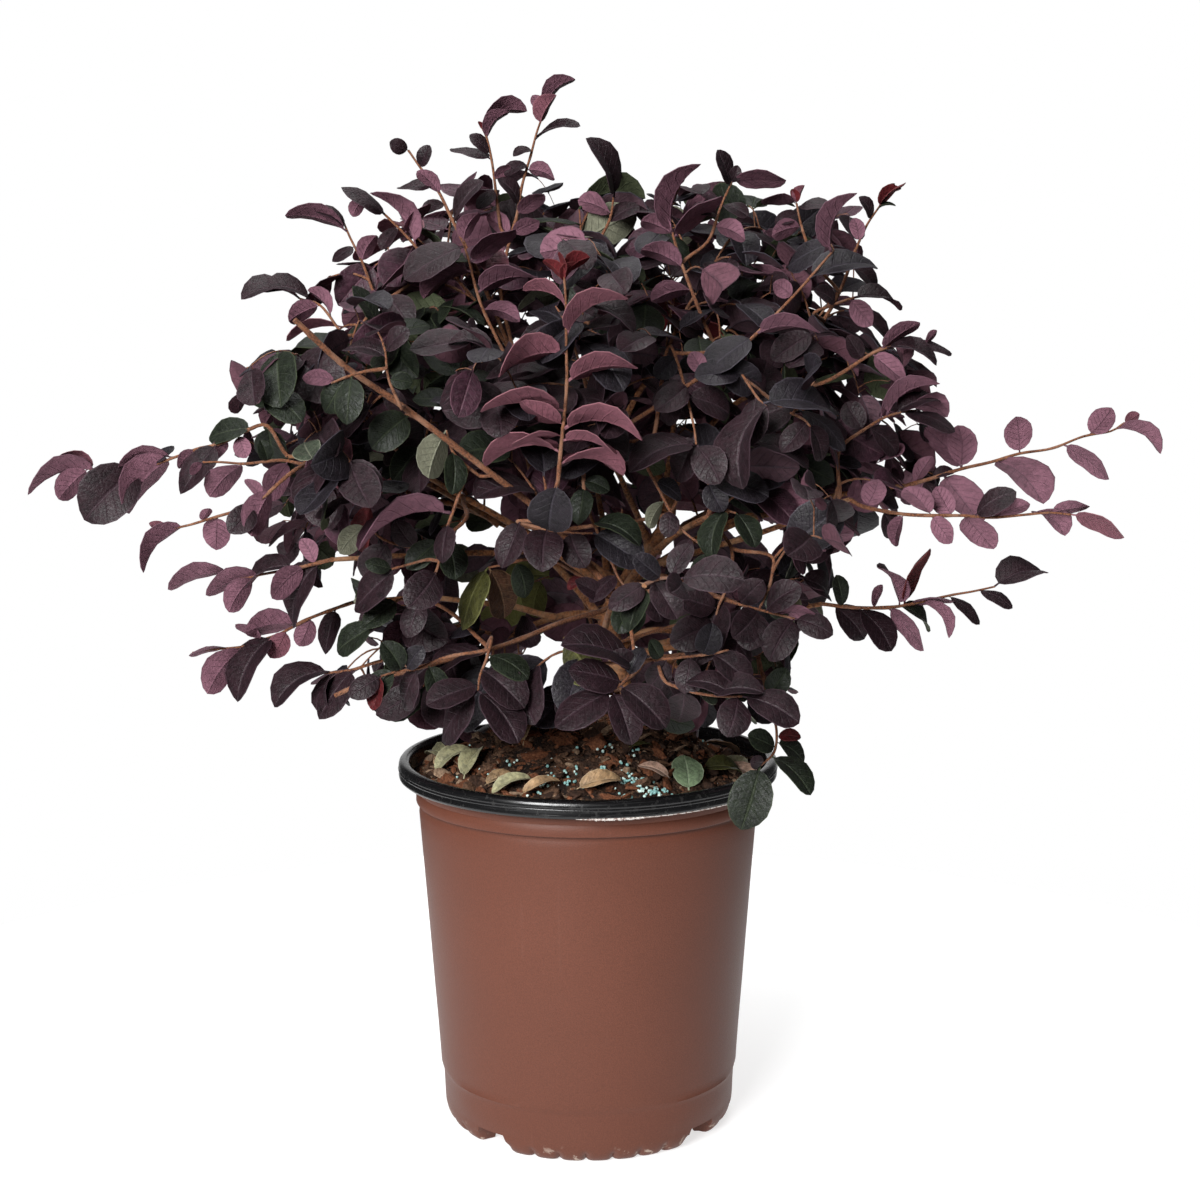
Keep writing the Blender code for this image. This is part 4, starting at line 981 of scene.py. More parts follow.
def leaves_mesh(name, leaves):
    """Joined leaves; each one given is a root, a direction, a face, a length, a width share, a bend and a look."""
    mesh = bpy.data.meshes.new(name)
    mesh.from_pydata([leaf[0] for leaf in leaves], [], [])
    turns, sizes = [], []
    for root, along, face, length, width, bend, look in leaves:
        along = along.normalized()
        side = along.cross(face).normalized()
        up = side.cross(along)
        turns += Matrix((side, along, up)).transposed().to_euler()
        sizes += [length * width, length, length]
    mesh.attributes.new("turn", "FLOAT_VECTOR", "POINT").data.foreach_set("vector", turns)
    mesh.attributes.new("size", "FLOAT_VECTOR", "POINT").data.foreach_set("vector", sizes)
    mesh.attributes.new("bend", "INT", "POINT").data.foreach_set("value", [leaf[5] for leaf in leaves])
    mesh.attributes.new("look", "INT", "POINT").data.foreach_set("value", [LOOK_NUMBERS[leaf[6]] for leaf in leaves])
    return LEAVES_TREE.run(mesh, {"Leaves": LEAF_KINDS})


# %% [markdown]
# ## Fallen leaves
# Old leaves have dropped on the mix and dried in their own curls: some sage, some tan, some pinkish, one still
# green. They are the same leaf mesh in its stronger bends, laid down one by one where they lie in the real pot,
# and a few more round the back.

# %% Fallen leaves
FALLEN = (  # x, y of the middle in mm, direction in degrees, length in mm, width share, bend, look, tilt of the face
    (57, -62, 100, 25, 1.1, 0, "pale_green", -38), (38, -68, 155, 20, 0.62, 2, "dry_rose", -12),
    (7, -86, 20, 26, 0.6, 3, "dry_tan", -20), (-79, -26, 205, 26, 0.6, 3, "dry_sage", -25),
    (-67, -40, 65, 28, 0.62, 3, "dry_sage", -15), (-50, -68, 20, 18, 0.7, 3, "dry_tan", -10),
    (-42, -79, 200, 25, 0.4, 3, "dry_sage", -20), (-26, -84, 25, 24, 0.4, 3, "dry_tan", -18),
    (-24, -20, 150, 28, 0.7, 4, "green", 10), (-33, -30, 70, 32, 0.36, 3, "dry_tan", -5),
    (79, -40, 15, 25, 0.75, 3, "olive", -15), (88, -16, 60, 26, 0.7, 5, "dry_sage", -15),
    (31, -50, 30, 16, 0.35, 1, "olive", 0), (-92, 4, 120, 24, 0.6, 3, "dry_sage", -10),
    (54, -52, 75, 16, 0.5, 2, "dry_rose", -18), (92, -30, 330, 24, 0.7, 2, "dry_rose", -20),
    (-20, 74, 80, 30, 0.9, 1, "brown", 5), (54, 60, 140, 28, 1.0, 2, "olive", 10),
    (-70, 50, 300, 30, 0.9, 3, "dark", 5), (10, 50, 200, 26, 0.8, 5, "dry_sage", 0),
    (84, 34, 20, 27, 0.9, 2, "brown", 5), (-88, -12, 80, 20, 0.6, 2, "dry_tan", -15),
)


def fallen_leaves():
    laid = []
    for x, y, degrees, length, width, bend, look, tilt in FALLEN:
        x, y, length = x / 1000.0, y / 1000.0, length / 1000.0
        heading = Vector((math.cos(math.radians(degrees)), math.sin(math.radians(degrees)), 0.0))
        ground = Vector((x, y, soil_height(x, y) + 0.0035))
        slope = Vector((x, y, 0.0)).normalized() * 0.35 + UP
        face = slope + Vector((0.0, math.sin(math.radians(tilt)), 0.0))
        along = (heading - face.normalized() * heading.dot(face.normalized())).normalized()
        laid.append((ground - along * length * 0.5, along, face, length, width, bend, look))
    return leaves_mesh("fallen_leaves", laid)


fallen_mesh = fallen_leaves()
piece("fallen_leaves", fallen_mesh, ["potting_soil"])
print("fallen leaves:", len(FALLEN))

# %% [markdown]
# ## Trunk and boughs
# The trunk is short, leans and has one kink; nineteen boughs spring from it or from each other, and nine shoots
# reach out further. Their paths follow the same rule as the solids: each bough leaves its parent at a share of the
# parent's length and runs in an arc to the mass of leaves it carries. The table is the plant's plan. A mound has a
# centre, half-sizes and a number of leaves; a shoot has a start, a tip and a number of leaves.

# %% The plan of the plant
HALF_WIDTH, HALF_DEPTH, TOP_HEIGHT = 0.335, 0.262, 0.622
MOUNDS = (  # name, parent, share of the parent, lift, centre, half-sizes, leaves of the solids
    ("spire", "trunk", 1.0, 0.0, (-0.014, 0.0, 0.54), (0.055, 0.07, 0.082), 16),
    ("top_left", "spire", 0.45, 0.01, (-0.095, -0.01, 0.508), (0.075, 0.082, 0.08), 22),
    ("top_right", "spire", 0.6, 0.008, (0.07, -0.01, 0.503), (0.065, 0.082, 0.072), 19),
    ("far_right_top", "spire", 0.25, 0.02, (0.15, -0.02, 0.488), (0.062, 0.075, 0.078), 19),
    ("top_front", "spire", 0.12, 0.004, (-0.01, -0.12, 0.45), (0.075, 0.062, 0.09), 20),
    ("left", "trunk", 0.78, 0.012, (-0.16, 0.02, 0.405), (0.068, 0.08, 0.07), 17),
    ("front_left", "trunk", 0.88, 0.0, (-0.145, -0.11, 0.43), (0.075, 0.068, 0.075), 20),
    ("front_right", "trunk", 0.74, 0.01, (0.095, -0.125, 0.405), (0.075, 0.065, 0.078), 20),
    ("right", "trunk", 0.85, 0.004, (0.155, 0.0, 0.4), (0.066, 0.07, 0.066), 17),
    ("back_right", "trunk", 0.6, 0.012, (0.115, 0.13, 0.4), (0.08, 0.075, 0.08), 20),
    ("back_left", "trunk", 0.54, 0.012, (-0.115, 0.13, 0.4), (0.08, 0.075, 0.08), 20),
    ("top_back_right", "back_right", 0.5, 0.015, (0.07, 0.1, 0.5), (0.075, 0.07, 0.068), 17),
    ("top_back_left", "back_left", 0.5, 0.015, (-0.07, 0.1, 0.5), (0.075, 0.07, 0.068), 17),
    ("back", "trunk", 0.7, 0.012, (0.0, 0.165, 0.415), (0.06, 0.06, 0.08), 16),
    ("low_left", "trunk", 0.66, 0.006, (-0.115, -0.045, 0.285), (0.085, 0.065, 0.048), 14),
    ("low_front", "trunk", 0.46, 0.01, (-0.015, -0.125, 0.29), (0.08, 0.058, 0.06), 14),
    ("low_right_front", "trunk", 0.3, 0.012, (0.08, -0.1, 0.29), (0.065, 0.055, 0.055), 12),
    ("low_right", "trunk", 0.42, 0.01, (0.12, 0.015, 0.3), (0.06, 0.065, 0.048), 12),
    ("low_back", "trunk", 0.34, 0.012, (-0.01, 0.125, 0.3), (0.12, 0.065, 0.052), 19),
)
SHOOTS = (  # name, parent, share of the parent, lift, start, tip, sag, leaves of the solids
    ("right_upper_shoot", "right", 0.55, 0.006, (0.215, -0.008, 0.39), (0.335, -0.012, 0.41), 0.016, 10),
    ("right_middle_shoot", "right", 0.3, -0.002, (0.19, -0.05, 0.362), (0.318, -0.07, 0.362), 0.008, 9),
    ("right_lower_shoot", "low_right", 0.45, 0.002, (0.17, -0.02, 0.318), (0.28, -0.03, 0.332), 0.0, 9),
    ("left_upper_shoot", "left", 0.6, 0.01, (-0.21, 0.005, 0.406), (-0.335, 0.0, 0.384), 0.01, 10),
    ("left_middle_shoot", "left", 0.35, 0.0, (-0.165, -0.045, 0.35), (-0.264, -0.06, 0.348), 0.008, 7),
    ("left_lower_shoot", "low_left", 0.5, 0.006, (-0.165, 0.025, 0.3), (-0.248, 0.03, 0.272), 0.01, 6),
    ("front_shoot", "low_front", 0.45, 0.01, (0.03, -0.175, 0.345), (0.045, -0.262, 0.35), 0.008, 6),
    ("back_shoot", "low_back", 0.4, 0.012, (0.02, 0.18, 0.335), (-0.02, 0.262, 0.345), 0.008, 6),
    ("hanging_shoot", "low_right_front", 0.55, 0.006, (0.118, -0.062, 0.258), (0.106, -0.096, 0.182), -0.004, 6),
)


class Mass:
    """One row of the plan, with the room that its leaves may fill."""

    def __init__(self, row, is_shoot):
        self.name, self.parent, self.share, self.lift = row[:4]
        self.is_shoot = is_shoot
        self.leaves = row[-1]
        if is_shoot:
            self.start, self.tip, self.sag = Vector(row[4]), Vector(row[5]), row[6]
            along = (self.tip - self.start) / 2.0
            side = along.cross(UP).normalized() if abs(along.normalized().z) < 0.9 else Vector((1.0, 0.0, 0.0))
            self.centre = (self.start + self.tip) / 2.0
            self.axes = [along * 1.08, side * 0.036, along.cross(side).normalized() * 0.030]
        else:
            self.centre = Vector(row[4])
            self.axes = [Vector(axis) for axis in ((row[5][0], 0, 0), (0, row[5][1], 0), (0, 0, row[5][2]))]
            self.halves = row[5]
        self.spread = sum(
            (Matrix([[axis[i] * axis[j] for j in range(3)] for i in range(3)]) for axis in self.axes), Matrix.Diagonal((0, 0, 0))
        )
        self.planes = []

    def keep_clear_of(self, other):
        """A plane between two rooms, nearer to the smaller one."""
        apart = other.centre - self.centre
        normal = ((self.spread + other.spread).inverted() @ apart).normalized()
        own = math.sqrt(normal.dot(self.spread @ normal))
        others = math.sqrt(normal.dot(other.spread @ normal))
        self.planes.append((normal, normal.dot(apart) * own / (own + others)))

    def clearance(self, point):
        offset = point - self.centre
        return min(limit - normal.dot(offset) for normal, limit in self.planes)

    def depth(self, point):
        """Under one inside a mound's rounded outline; a shoot has only its planes."""
        if self.is_shoot:
            return 0.0
        offset = point - self.centre
        return sum((offset[i] / self.halves[i]) ** 2 for i in range(3))


MASSES = {row[0]: Mass(row, False) for row in MOUNDS} | {row[0]: Mass(row, True) for row in SHOOTS}
for mass in MASSES.values():
    for other in MASSES.values():
        if other is not mass:
            mass.keep_clear_of(other)
print("masses:", len(MASSES), "leaves of the solids:", sum(mass.leaves for mass in MASSES.values()))

# %% [markdown]
# ## Paths
# A limb is a path with a radius at each point. The solids use long straight stretches; here the same arcs are cut
# into short ones, so they bend smoothly. Real wood isn't quite straight either: it wanders a little, and it swells
# where something springs from it.


# %% Helpers for paths
def bezier(points, share):
    while len(points) > 1:
        points = [a.lerp(b, share) for a, b in zip(points, points[1:])]
    return points[0]


def arc_between(start, end, lift, step):
    """A path from start to end that rises above the straight line by about lift."""
    count = max(2, round((end - start).length / step) + 1)
    middle = [start.lerp(end, 0.33) + UP * lift * 1.4, start.lerp(end, 0.67) + UP * lift * 1.2]
    return [bezier([start, *middle, end], i / (count - 1)) for i in range(count)]


def path_length(path):
    return sum((b - a).length for a, b in zip(path, path[1:]))


def place_along(path, share):
    """The point and the direction at a share of the path's length."""
    lengths = [(b - a).length for a, b in zip(path, path[1:])]
    wanted = share * sum(lengths)
    for a, b, length in zip(path, path[1:], lengths):
        if wanted <= length + 0.000001 and length > 0.0:
            return a.lerp(b, min(1.0, wanted / length)), (b - a).normalized()
        wanted -= length
    return path[-1].copy(), (path[-1] - path[-2]).normalized()


def rounded(points, step):
    """A smooth path through all the points, by Catmull and Rom's rule."""
    ends = [points[0] * 2.0 - points[1], *points, points[-1] * 2.0 - points[-2]]
    path = []
    for a, b, c, d in zip(ends, ends[1:], ends[2:], ends[3:]):
        count = max(1, round((c - b).length / step))
        for i in range(count):
            t = i / count
            path.append((b * 2.0 + (c - a) * t + (a * 2.0 - b * 5.0 + c * 4.0 - d) * t * t + (b * 3.0 - a - c * 3.0 + d) * t * t * t) * 0.5)
    return path + [points[-1].copy()]


def wandering(path, amount, seed):
    """The same path with a slow sideways wander, which fades at both ends."""
    moved, count = [], len(path) - 1
    for i, point in enumerate(path):
        fade = math.sin(math.pi * i / max(1, count)) ** 0.5 if 0 < i < count else 0.0
        moved.append(point + noise.noise_vector(point * 28.0 + Vector((seed, 0.0, 0.0))) * amount * fade)
    return moved


# %% The tree that makes stalks of paths
def stalks_tree():
    """A path becomes a round stalk; its bark is raised and sunk by noise along the stalk's own surface."""
    steps = Steps("stalks_on_paths", {"Sides": "Int", "Relief": "Float", "Grain": "Float", "Bark": "Material"})
    curve = steps.add("GeometryNodeMeshToCurve", {}, {"Mesh": steps.given("Geometry")})
    circle = steps.add("GeometryNodeCurvePrimitiveCircle", {}, {"Resolution": steps.given("Sides"), "Radius": 1.0}, "Curve")
    sockets = {"Curve": curve, "Profile Curve": circle, "Scale": steps.attribute("thick", "FLOAT"), "Fill Caps": True}
    tube = steps.add("GeometryNodeCurveToMesh", {}, sockets)
    spot = steps.add("GeometryNodeInputPosition", {}, {})
    bark = steps.add("ShaderNodeTexNoise", {}, {"Vector": spot, "Scale": steps.given("Grain"), "Detail": 3.0}, "Fac")
    lifted = steps.add("ShaderNodeMath", {"operation": "SUBTRACT"}, {0: bark, 1: 0.5})
    raised = steps.add("ShaderNodeMath", {"operation": "MULTIPLY"}, {0: lifted, 1: steps.given("Relief")})
    own = steps.add("ShaderNodeMath", {"operation": "MULTIPLY"}, {0: raised, 1: steps.attribute("thick", "FLOAT")})
    normal = steps.add("GeometryNodeInputNormal", {}, {}, "Normal")
    offset = steps.add("ShaderNodeVectorMath", {"operation": "SCALE"}, {"Vector": normal, "Scale": own}, "Vector")
    moved = steps.add("GeometryNodeSetPosition", {}, {"Geometry": tube, "Offset": offset})
    real = steps.add("GeometryNodeRealizeInstances", {}, {"Geometry": moved})
    round_stalk = steps.add("GeometryNodeSetShadeSmooth", {}, {"Geometry": real})
    steps.end(steps.add("GeometryNodeSetMaterial", {}, {"Geometry": round_stalk, "Material": steps.given("Bark")}))
    return steps


STALKS_TREE = stalks_tree()


def stalks_mesh(name, stalks, sides, relief, grain, bark):
    """Joined stalks; each one given is a path and its radii."""
    points, edges, thick = [], [], []
    for path, radii in stalks:
        first = len(points)
        points += path
        thick += radii
        edges += [(first + i, first + i + 1) for i in range(len(path) - 1)]
    mesh = bpy.data.meshes.new(name)
    mesh.from_pydata(points, edges, [])
    mesh.attributes.new("thick", "FLOAT", "POINT").data.foreach_set("value", thick)
    return STALKS_TREE.run(mesh, {"Sides": sides, "Relief": relief, "Grain": grain, "Bark": bark})


# %% [markdown]
# The bark of the older wood is orange-brown, greyer where it has weathered, with fine lengthwise cracks. Young
# twigs are smoother and redder, with a dusting of pale hairs.


# %% Bark finishes
def bark_finish(name, deep, warm, pale, grain):
    finish = Finish(name, {"Specular IOR Level": 0.3, "Sheen Weight": 0.08})
    cracks = finish.cloud(grain, 5.0)
    patches = finish.cloud(grain * 0.12, 3.0)
    flakes = finish.cells(grain * 1.6)
    colour = finish.blend(finish.band(cracks, 0.35, 0.62), deep, warm)
    colour = finish.blend(finish.band(patches, 0.48, 0.70) * 0.6, colour, pale)
    colour = finish.blend(finish.band(flakes, 0.45, 0.75) * 0.25, colour, pale)
    return finish.end(colour, 0.62 + cracks * 0.3, cracks + flakes * 0.4, 0.00045)


OLD_BARK = bark_finish("old_bark", plain(78, 44, 26), plain(140, 88, 52), plain(158, 122, 92), 520.0)
TWIG_BARK = bark_finish("twig_bark", plain(74, 42, 28), plain(126, 78, 50), plain(146, 108, 86), 900.0)

# %% Grow the trunk and the boughs
LIMB_STEP = 0.0035
BOUGH_ENDS = {  # these boughs end where the listed sprays begin
    "right_upper_shoot": (0.189, -0.010, 0.386), "right_middle_shoot": (0.150, -0.055, 0.381),
    "right_lower_shoot": (0.139, -0.022, 0.317), "left_upper_shoot": (-0.178, -0.004, 0.404),
    "left_middle_shoot": (-0.148, -0.045, 0.346), "left_lower_shoot": (-0.141, 0.026, 0.314),
    "hanging_shoot": (0.096, -0.080, 0.295),
}
TRUNK_POINTS = [Vector(p) for p in ((0.024, 0.0, 0.2380), (0.024, 0.0, 0.2439), (0.0224, 0.0003, 0.2522), (0.019, 0.001, 0.276), (0.0148, 0.0016, 0.294), (0.012, 0.002, 0.306), (0.0192, 0.0029, 0.3195), (0.028, 0.004, 0.336))]
TRUNK_RADII = (0.0096, 0.0078, 0.0062, 0.0058, 0.0055, 0.0056, 0.0051, 0.0048)
BOUGH_RADIUS, BRANCH_RADIUS, LIMB_TIP_RADIUS = 0.0027, 0.0021, 0.0013


class Limb:
    """The rough path of the solids, which places are measured on, and the fine one that shows."""

    def __init__(self, rough, fine, radii):
        self.rough, self.fine, self.radii = rough, fine, radii


def grow_trunk():
    fine = rounded(TRUNK_POINTS, LIMB_STEP)
    total, radii = path_length(fine), []
    shares = [path_length(TRUNK_POINTS[: i + 1]) / path_length(TRUNK_POINTS) if i else 0.0 for i in range(len(TRUNK_POINTS))]
    for i in range(len(fine)):
        share = path_length(fine[: i + 1]) / total if i else 0.0
        k = max(j for j in range(len(shares) - 1) if shares[j] <= share + 0.000001)
        mix = min(1.0, (share - shares[k]) / (shares[k + 1] - shares[k]))
        radii.append(TRUNK_RADII[k] + (TRUNK_RADII[k + 1] - TRUNK_RADII[k]) * mix)
    return Limb(TRUNK_POINTS[1:], fine, radii)


def bough_tip(mass, spring):
    """Where the bough enters its mass: the first point on the way in that is well inside the room."""
    start, end = (mass.start, mass.tip) if mass.is_shoot else (spring, mass.centre)
    for step in range(60):
        point = start.lerp(end, step / 60)
        if mass.depth(point) < 0.80 and mass.clearance(point) > 0.004:
            return point
    return end


def grow_bough(mass, limbs):
    parent = limbs[mass.parent]
    spring, heading = place_along(parent.rough, mass.share)
    tip = Vector(BOUGH_ENDS[mass.name]) if mass.name in BOUGH_ENDS else bough_tip(mass, spring)
    rough = arc_between(spring, tip, mass.lift, 0.040)
    fine = arc_between(spring, tip, mass.lift, LIMB_STEP)
    base = BOUGH_RADIUS if mass.parent == "trunk" else BRANCH_RADIUS
    if mass.share >= 1.0:
        rough[1] = spring + heading * (rough[1] - spring).length
        fine = rounded([spring - heading * 0.004, spring, *rough[1:]], LIMB_STEP)
        base = parent.radii[-1] * 0.97
    fine = wandering(fine, 0.0022, len(limbs) * 3.7)
    radii = []
    for i in range(len(fine)):
        share = i / (len(fine) - 1)
        collar = 1.0 + 0.45 * (1.0 - smooth(share * path_length(fine), 0.0, 0.010)) * (mass.share < 1.0)
        knots = 1.0 + 0.10 * max(0.0, noise.noise(fine[i] * 130.0))
        radii.append((base + (LIMB_TIP_RADIUS - base) * share) * collar * knots)
    return Limb(rough, fine, radii)


limbs = {"trunk": grow_trunk()}
trunk_mesh = stalks_mesh("trunk_bark", [(limbs["trunk"].fine, limbs["trunk"].radii)], 20, 0.16, 420.0, OLD_BARK)
piece("trunk_bark", trunk_mesh, ["trunk"])
for mass in MASSES.values():
    limbs[mass.name] = grow_bough(mass, limbs)
    limb = limbs[mass.name]
    mesh = stalks_mesh("bark_" + mass.name, [(limb.fine, limb.radii)], 12, 0.14, 520.0, OLD_BARK)
    piece("bark_" + mass.name, mesh, ["bough_" + mass.name])
print("limbs:", len(limbs), "with", round(sum(path_length(limb.fine) for limb in limbs.values()), 2), "m of wood")

# %% [markdown]
# ## Keeping things apart
# Leaves touch and overlap on the real plant, but they don't run through each other's middles or through the wood.
# A crowd keeps points in small boxes of space, so asking whether anything is near takes no time. More tests use the
# camera. Seen from the front, the crown keeps the outline measured on the photograph, with its open places. Nothing
# may grow in front of a leaf or a bare bough that is listed in the tables.

# %% Crowds, the outline and the open places
LEAF_SPACING = 0.0078
WOOD_SPACING = 0.0035
PLANE_OVERLAP = 0.010
OUTLINE = (  # the crown's edge as seen from the front, on an upright plane through the pot's axis, in millimetres
    (-102, 238), (-131, 247), (-156, 253), (-197, 284), (-188, 317), (-190, 336), (-205, 363), (-190, 384),
    (-210, 396), (-222, 414), (-206, 437), (-211, 452), (-176, 467), (-188, 490), (-169, 518), (-142, 518),
    (-122, 545), (-86, 545), (-74, 563), (-50, 574), (-30, 574), (-15, 553), (32, 556), (61, 570), (87, 571),
    (105, 552), (164, 550), (169, 495), (177, 478), (207, 469), (216, 425), (238, 404), (223, 377), (170, 368),
    (149, 341), (148, 317), (125, 292), (123, 262), (108, 238), (56, 236), (7, 241), (-41, 238),
)
OPEN_SKY = (
    (-23, 277, 17), (-22, 263, 12), (-72, 316, 11), (-117, 322, 10), (-67, 352, 9), (110, 351, 9), (-129, 286, 8), (-141, 280, 8),
)


class Crowd:
    """Points kept in boxes of space, so that near ones are found without looking at all of them."""

    def __init__(self, box):
        self.box, self.boxes = box, {}

    def key(self, point):
        return tuple(math.floor(v / self.box) for v in point)

    def add(self, point):
        self.boxes.setdefault(self.key(point), []).append(point)

    def around(self, point, reach=1):
        i, j, k = self.key(point)
        steps = range(-reach, reach + 1)
        for a in steps:
            for b in steps:
                for c in steps:
                    yield from self.boxes.get((i + a, j + b, k + c), ())

    def has_near(self, point, distance):
        return any((point - other).length < distance for other in self.around(point, math.ceil(distance / self.box)))


leaf_crowd, wood_crowd = Crowd(0.01), Crowd(0.005)
placed_leaves, placed_wood = Crowd(0.02), Crowd(0.02)
for limb in limbs.values():
    for i in range(0, len(limb.fine), 2):
        wood_crowd.add(limb.fine[i])


def on_picture(point):
    """Where a point shows, measured on an upright plane through the pot's axis."""
    share = (0.0 - CAMERA_PLACE.y) / (point.y - CAMERA_PLACE.y)
    seen = CAMERA_PLACE + (point - CAMERA_PLACE) * share
    return Vector((seen.x, 0.0, seen.z))


def in_outline(seen):
    """Counts how often a line to the right of the point crosses the outline; an odd count is inside."""
    x, z, inside = seen.x * 1000.0, seen.z * 1000.0, False
    for (x1, z1), (x2, z2) in zip(OUTLINE, OUTLINE[1:] + OUTLINE[:1]):
        if (z1 > z) != (z2 > z) and x < x1 + (x2 - x1) * (z - z1) / (z2 - z1):
            inside = not inside
    return inside and all(math.hypot(x - a, z - b) > size for a, b, size in OPEN_SKY)


def hides_placed(point):
    seen = on_picture(point)
    for crowd, reach in ((placed_leaves, 0.017), (placed_wood, 0.009)):
        for other in crowd.around(seen):
            if point.y < other.y and math.hypot(other.x - seen.x, other.z - seen.z) < reach:
                return True
    return False


def remember_placed(crowd, point):
    """Keeps a point by its place on the picture, with its true depth."""
    seen = on_picture(point)
    crowd.boxes.setdefault(crowd.key(seen), []).append(Vector((seen.x, point.y, seen.z)))


def in_the_open(point, edge=0.0):
    """Inside the plant's reach, above the mix and clear of the wall and rim."""
    if abs(point.x) > HALF_WIDTH - edge or abs(point.y) > HALF_DEPTH - edge or point.z > TOP_HEIGHT - edge:
        return False
    away = math.hypot(point.x, point.y)
    if away < 0.122 and point.z < 0.232:
        return away < 0.100 and point.z > soil_height(point.x, point.y) + 0.006
    return True


# %% [markdown]
# ## Which colour a leaf has
# Most leaves are dark aubergine or blue-black. Older ones, low down and inside, turn green-black, olive or sage;
# new ones at the top and at the ends are mauve or pink. A spray of leaves shares its look, and some of its leaves
# take a neighbouring one, as they do where one year's growth meets the next.

# %% Dealing out the looks
NEIGHBOURS = {
    "dark": ("blue", "mauve", "blue"), "blue": ("dark", "dark", "green"), "green": ("dark", "sage", "blue"),
    "mauve": ("dark", "pink", "dark"), "pink": ("mauve", "red", "mauve"), "red": ("pink", "mauve", "pink"),
    "olive": ("green", "sage", "brown"), "sage": ("green", "olive", "dark"), "brown": ("olive", "dark", "mauve"),
}


def look_of_spray(point, chance):
    inside = 1.0 - smooth(math.hypot(point.x, point.y * 1.1), 0.07, 0.17)
    low = 1.0 - smooth(point.z, 0.28, 0.38)
    young = smooth(point.z, 0.46, 0.58) * (1.0 - 0.6 * smooth(point.x, 0.0, 0.12)) + smooth(abs(point.x), 0.19, 0.26) * 0.8
    left_side = smooth(-point.x, 0.05, 0.12) * smooth(point.z, 0.36, 0.42) * (1.0 - smooth(point.z, 0.46, 0.52))
    shares = {
        "dark": 1.0,
        "blue": 0.42 + 0.2 * inside,
        "green": 0.06 + 0.35 * low + 0.2 * inside + 0.45 * left_side,
        "mauve": 0.12 + 0.62 * young,
        "pink": 0.02 + 0.10 * young,
        "olive": 0.08 * low,
        "sage": 0.10 * low + 0.10 * left_side,
        "red": 0.005,
    }
    return chance.choices(list(shares), list(shares.values()))[0]


# %% [markdown]
# ## How a spray grows
# Leaves stand on a twig in two ranks, left and right by turns, and one ends it. Twigs leave the stem at the golden
# angle, a little over a third of a turn from one to the next, so that none shades the one below. After that, more
# twigs grow towards the emptiest places until the mass has its leaves. That is the rule of the solids, carried on
# to finer twigs and more leaves. Each leaf turns its upper side up and out to the light.

# %% The growth of one mass
GOLDEN_ANGLE = math.pi * (3.0 - math.sqrt(5.0))
CROWN_MIDDLE = Vector((0.0, 0.0, 0.38))
LEAF_LENGTH = 0.040
LEAF_STEP = 0.0100
LEAVES_FOR_ONE = 8.2
OPENNESS = {"top_left": 0.62, "spire": 0.7, "top_back_left": 0.85, "low_front": 0.8, "low_left": 0.8, "low_back": 0.85}  # masses that show more sky
TWIG_BASE, TWIG_TIP = 0.00078, 0.00045


def cut_at(path, place):
    """The path up to a place on it, so that no twig goes on bare behind its last leaf."""
    kept = [path[0]]
    for a, b in zip(path, path[1:]):
        length = (b - a).length
        if place <= length + 0.000001:
            return kept + [a.lerp(b, max(0.05, min(1.0, place / length)))]
        kept.append(b)
        place -= length
    return kept


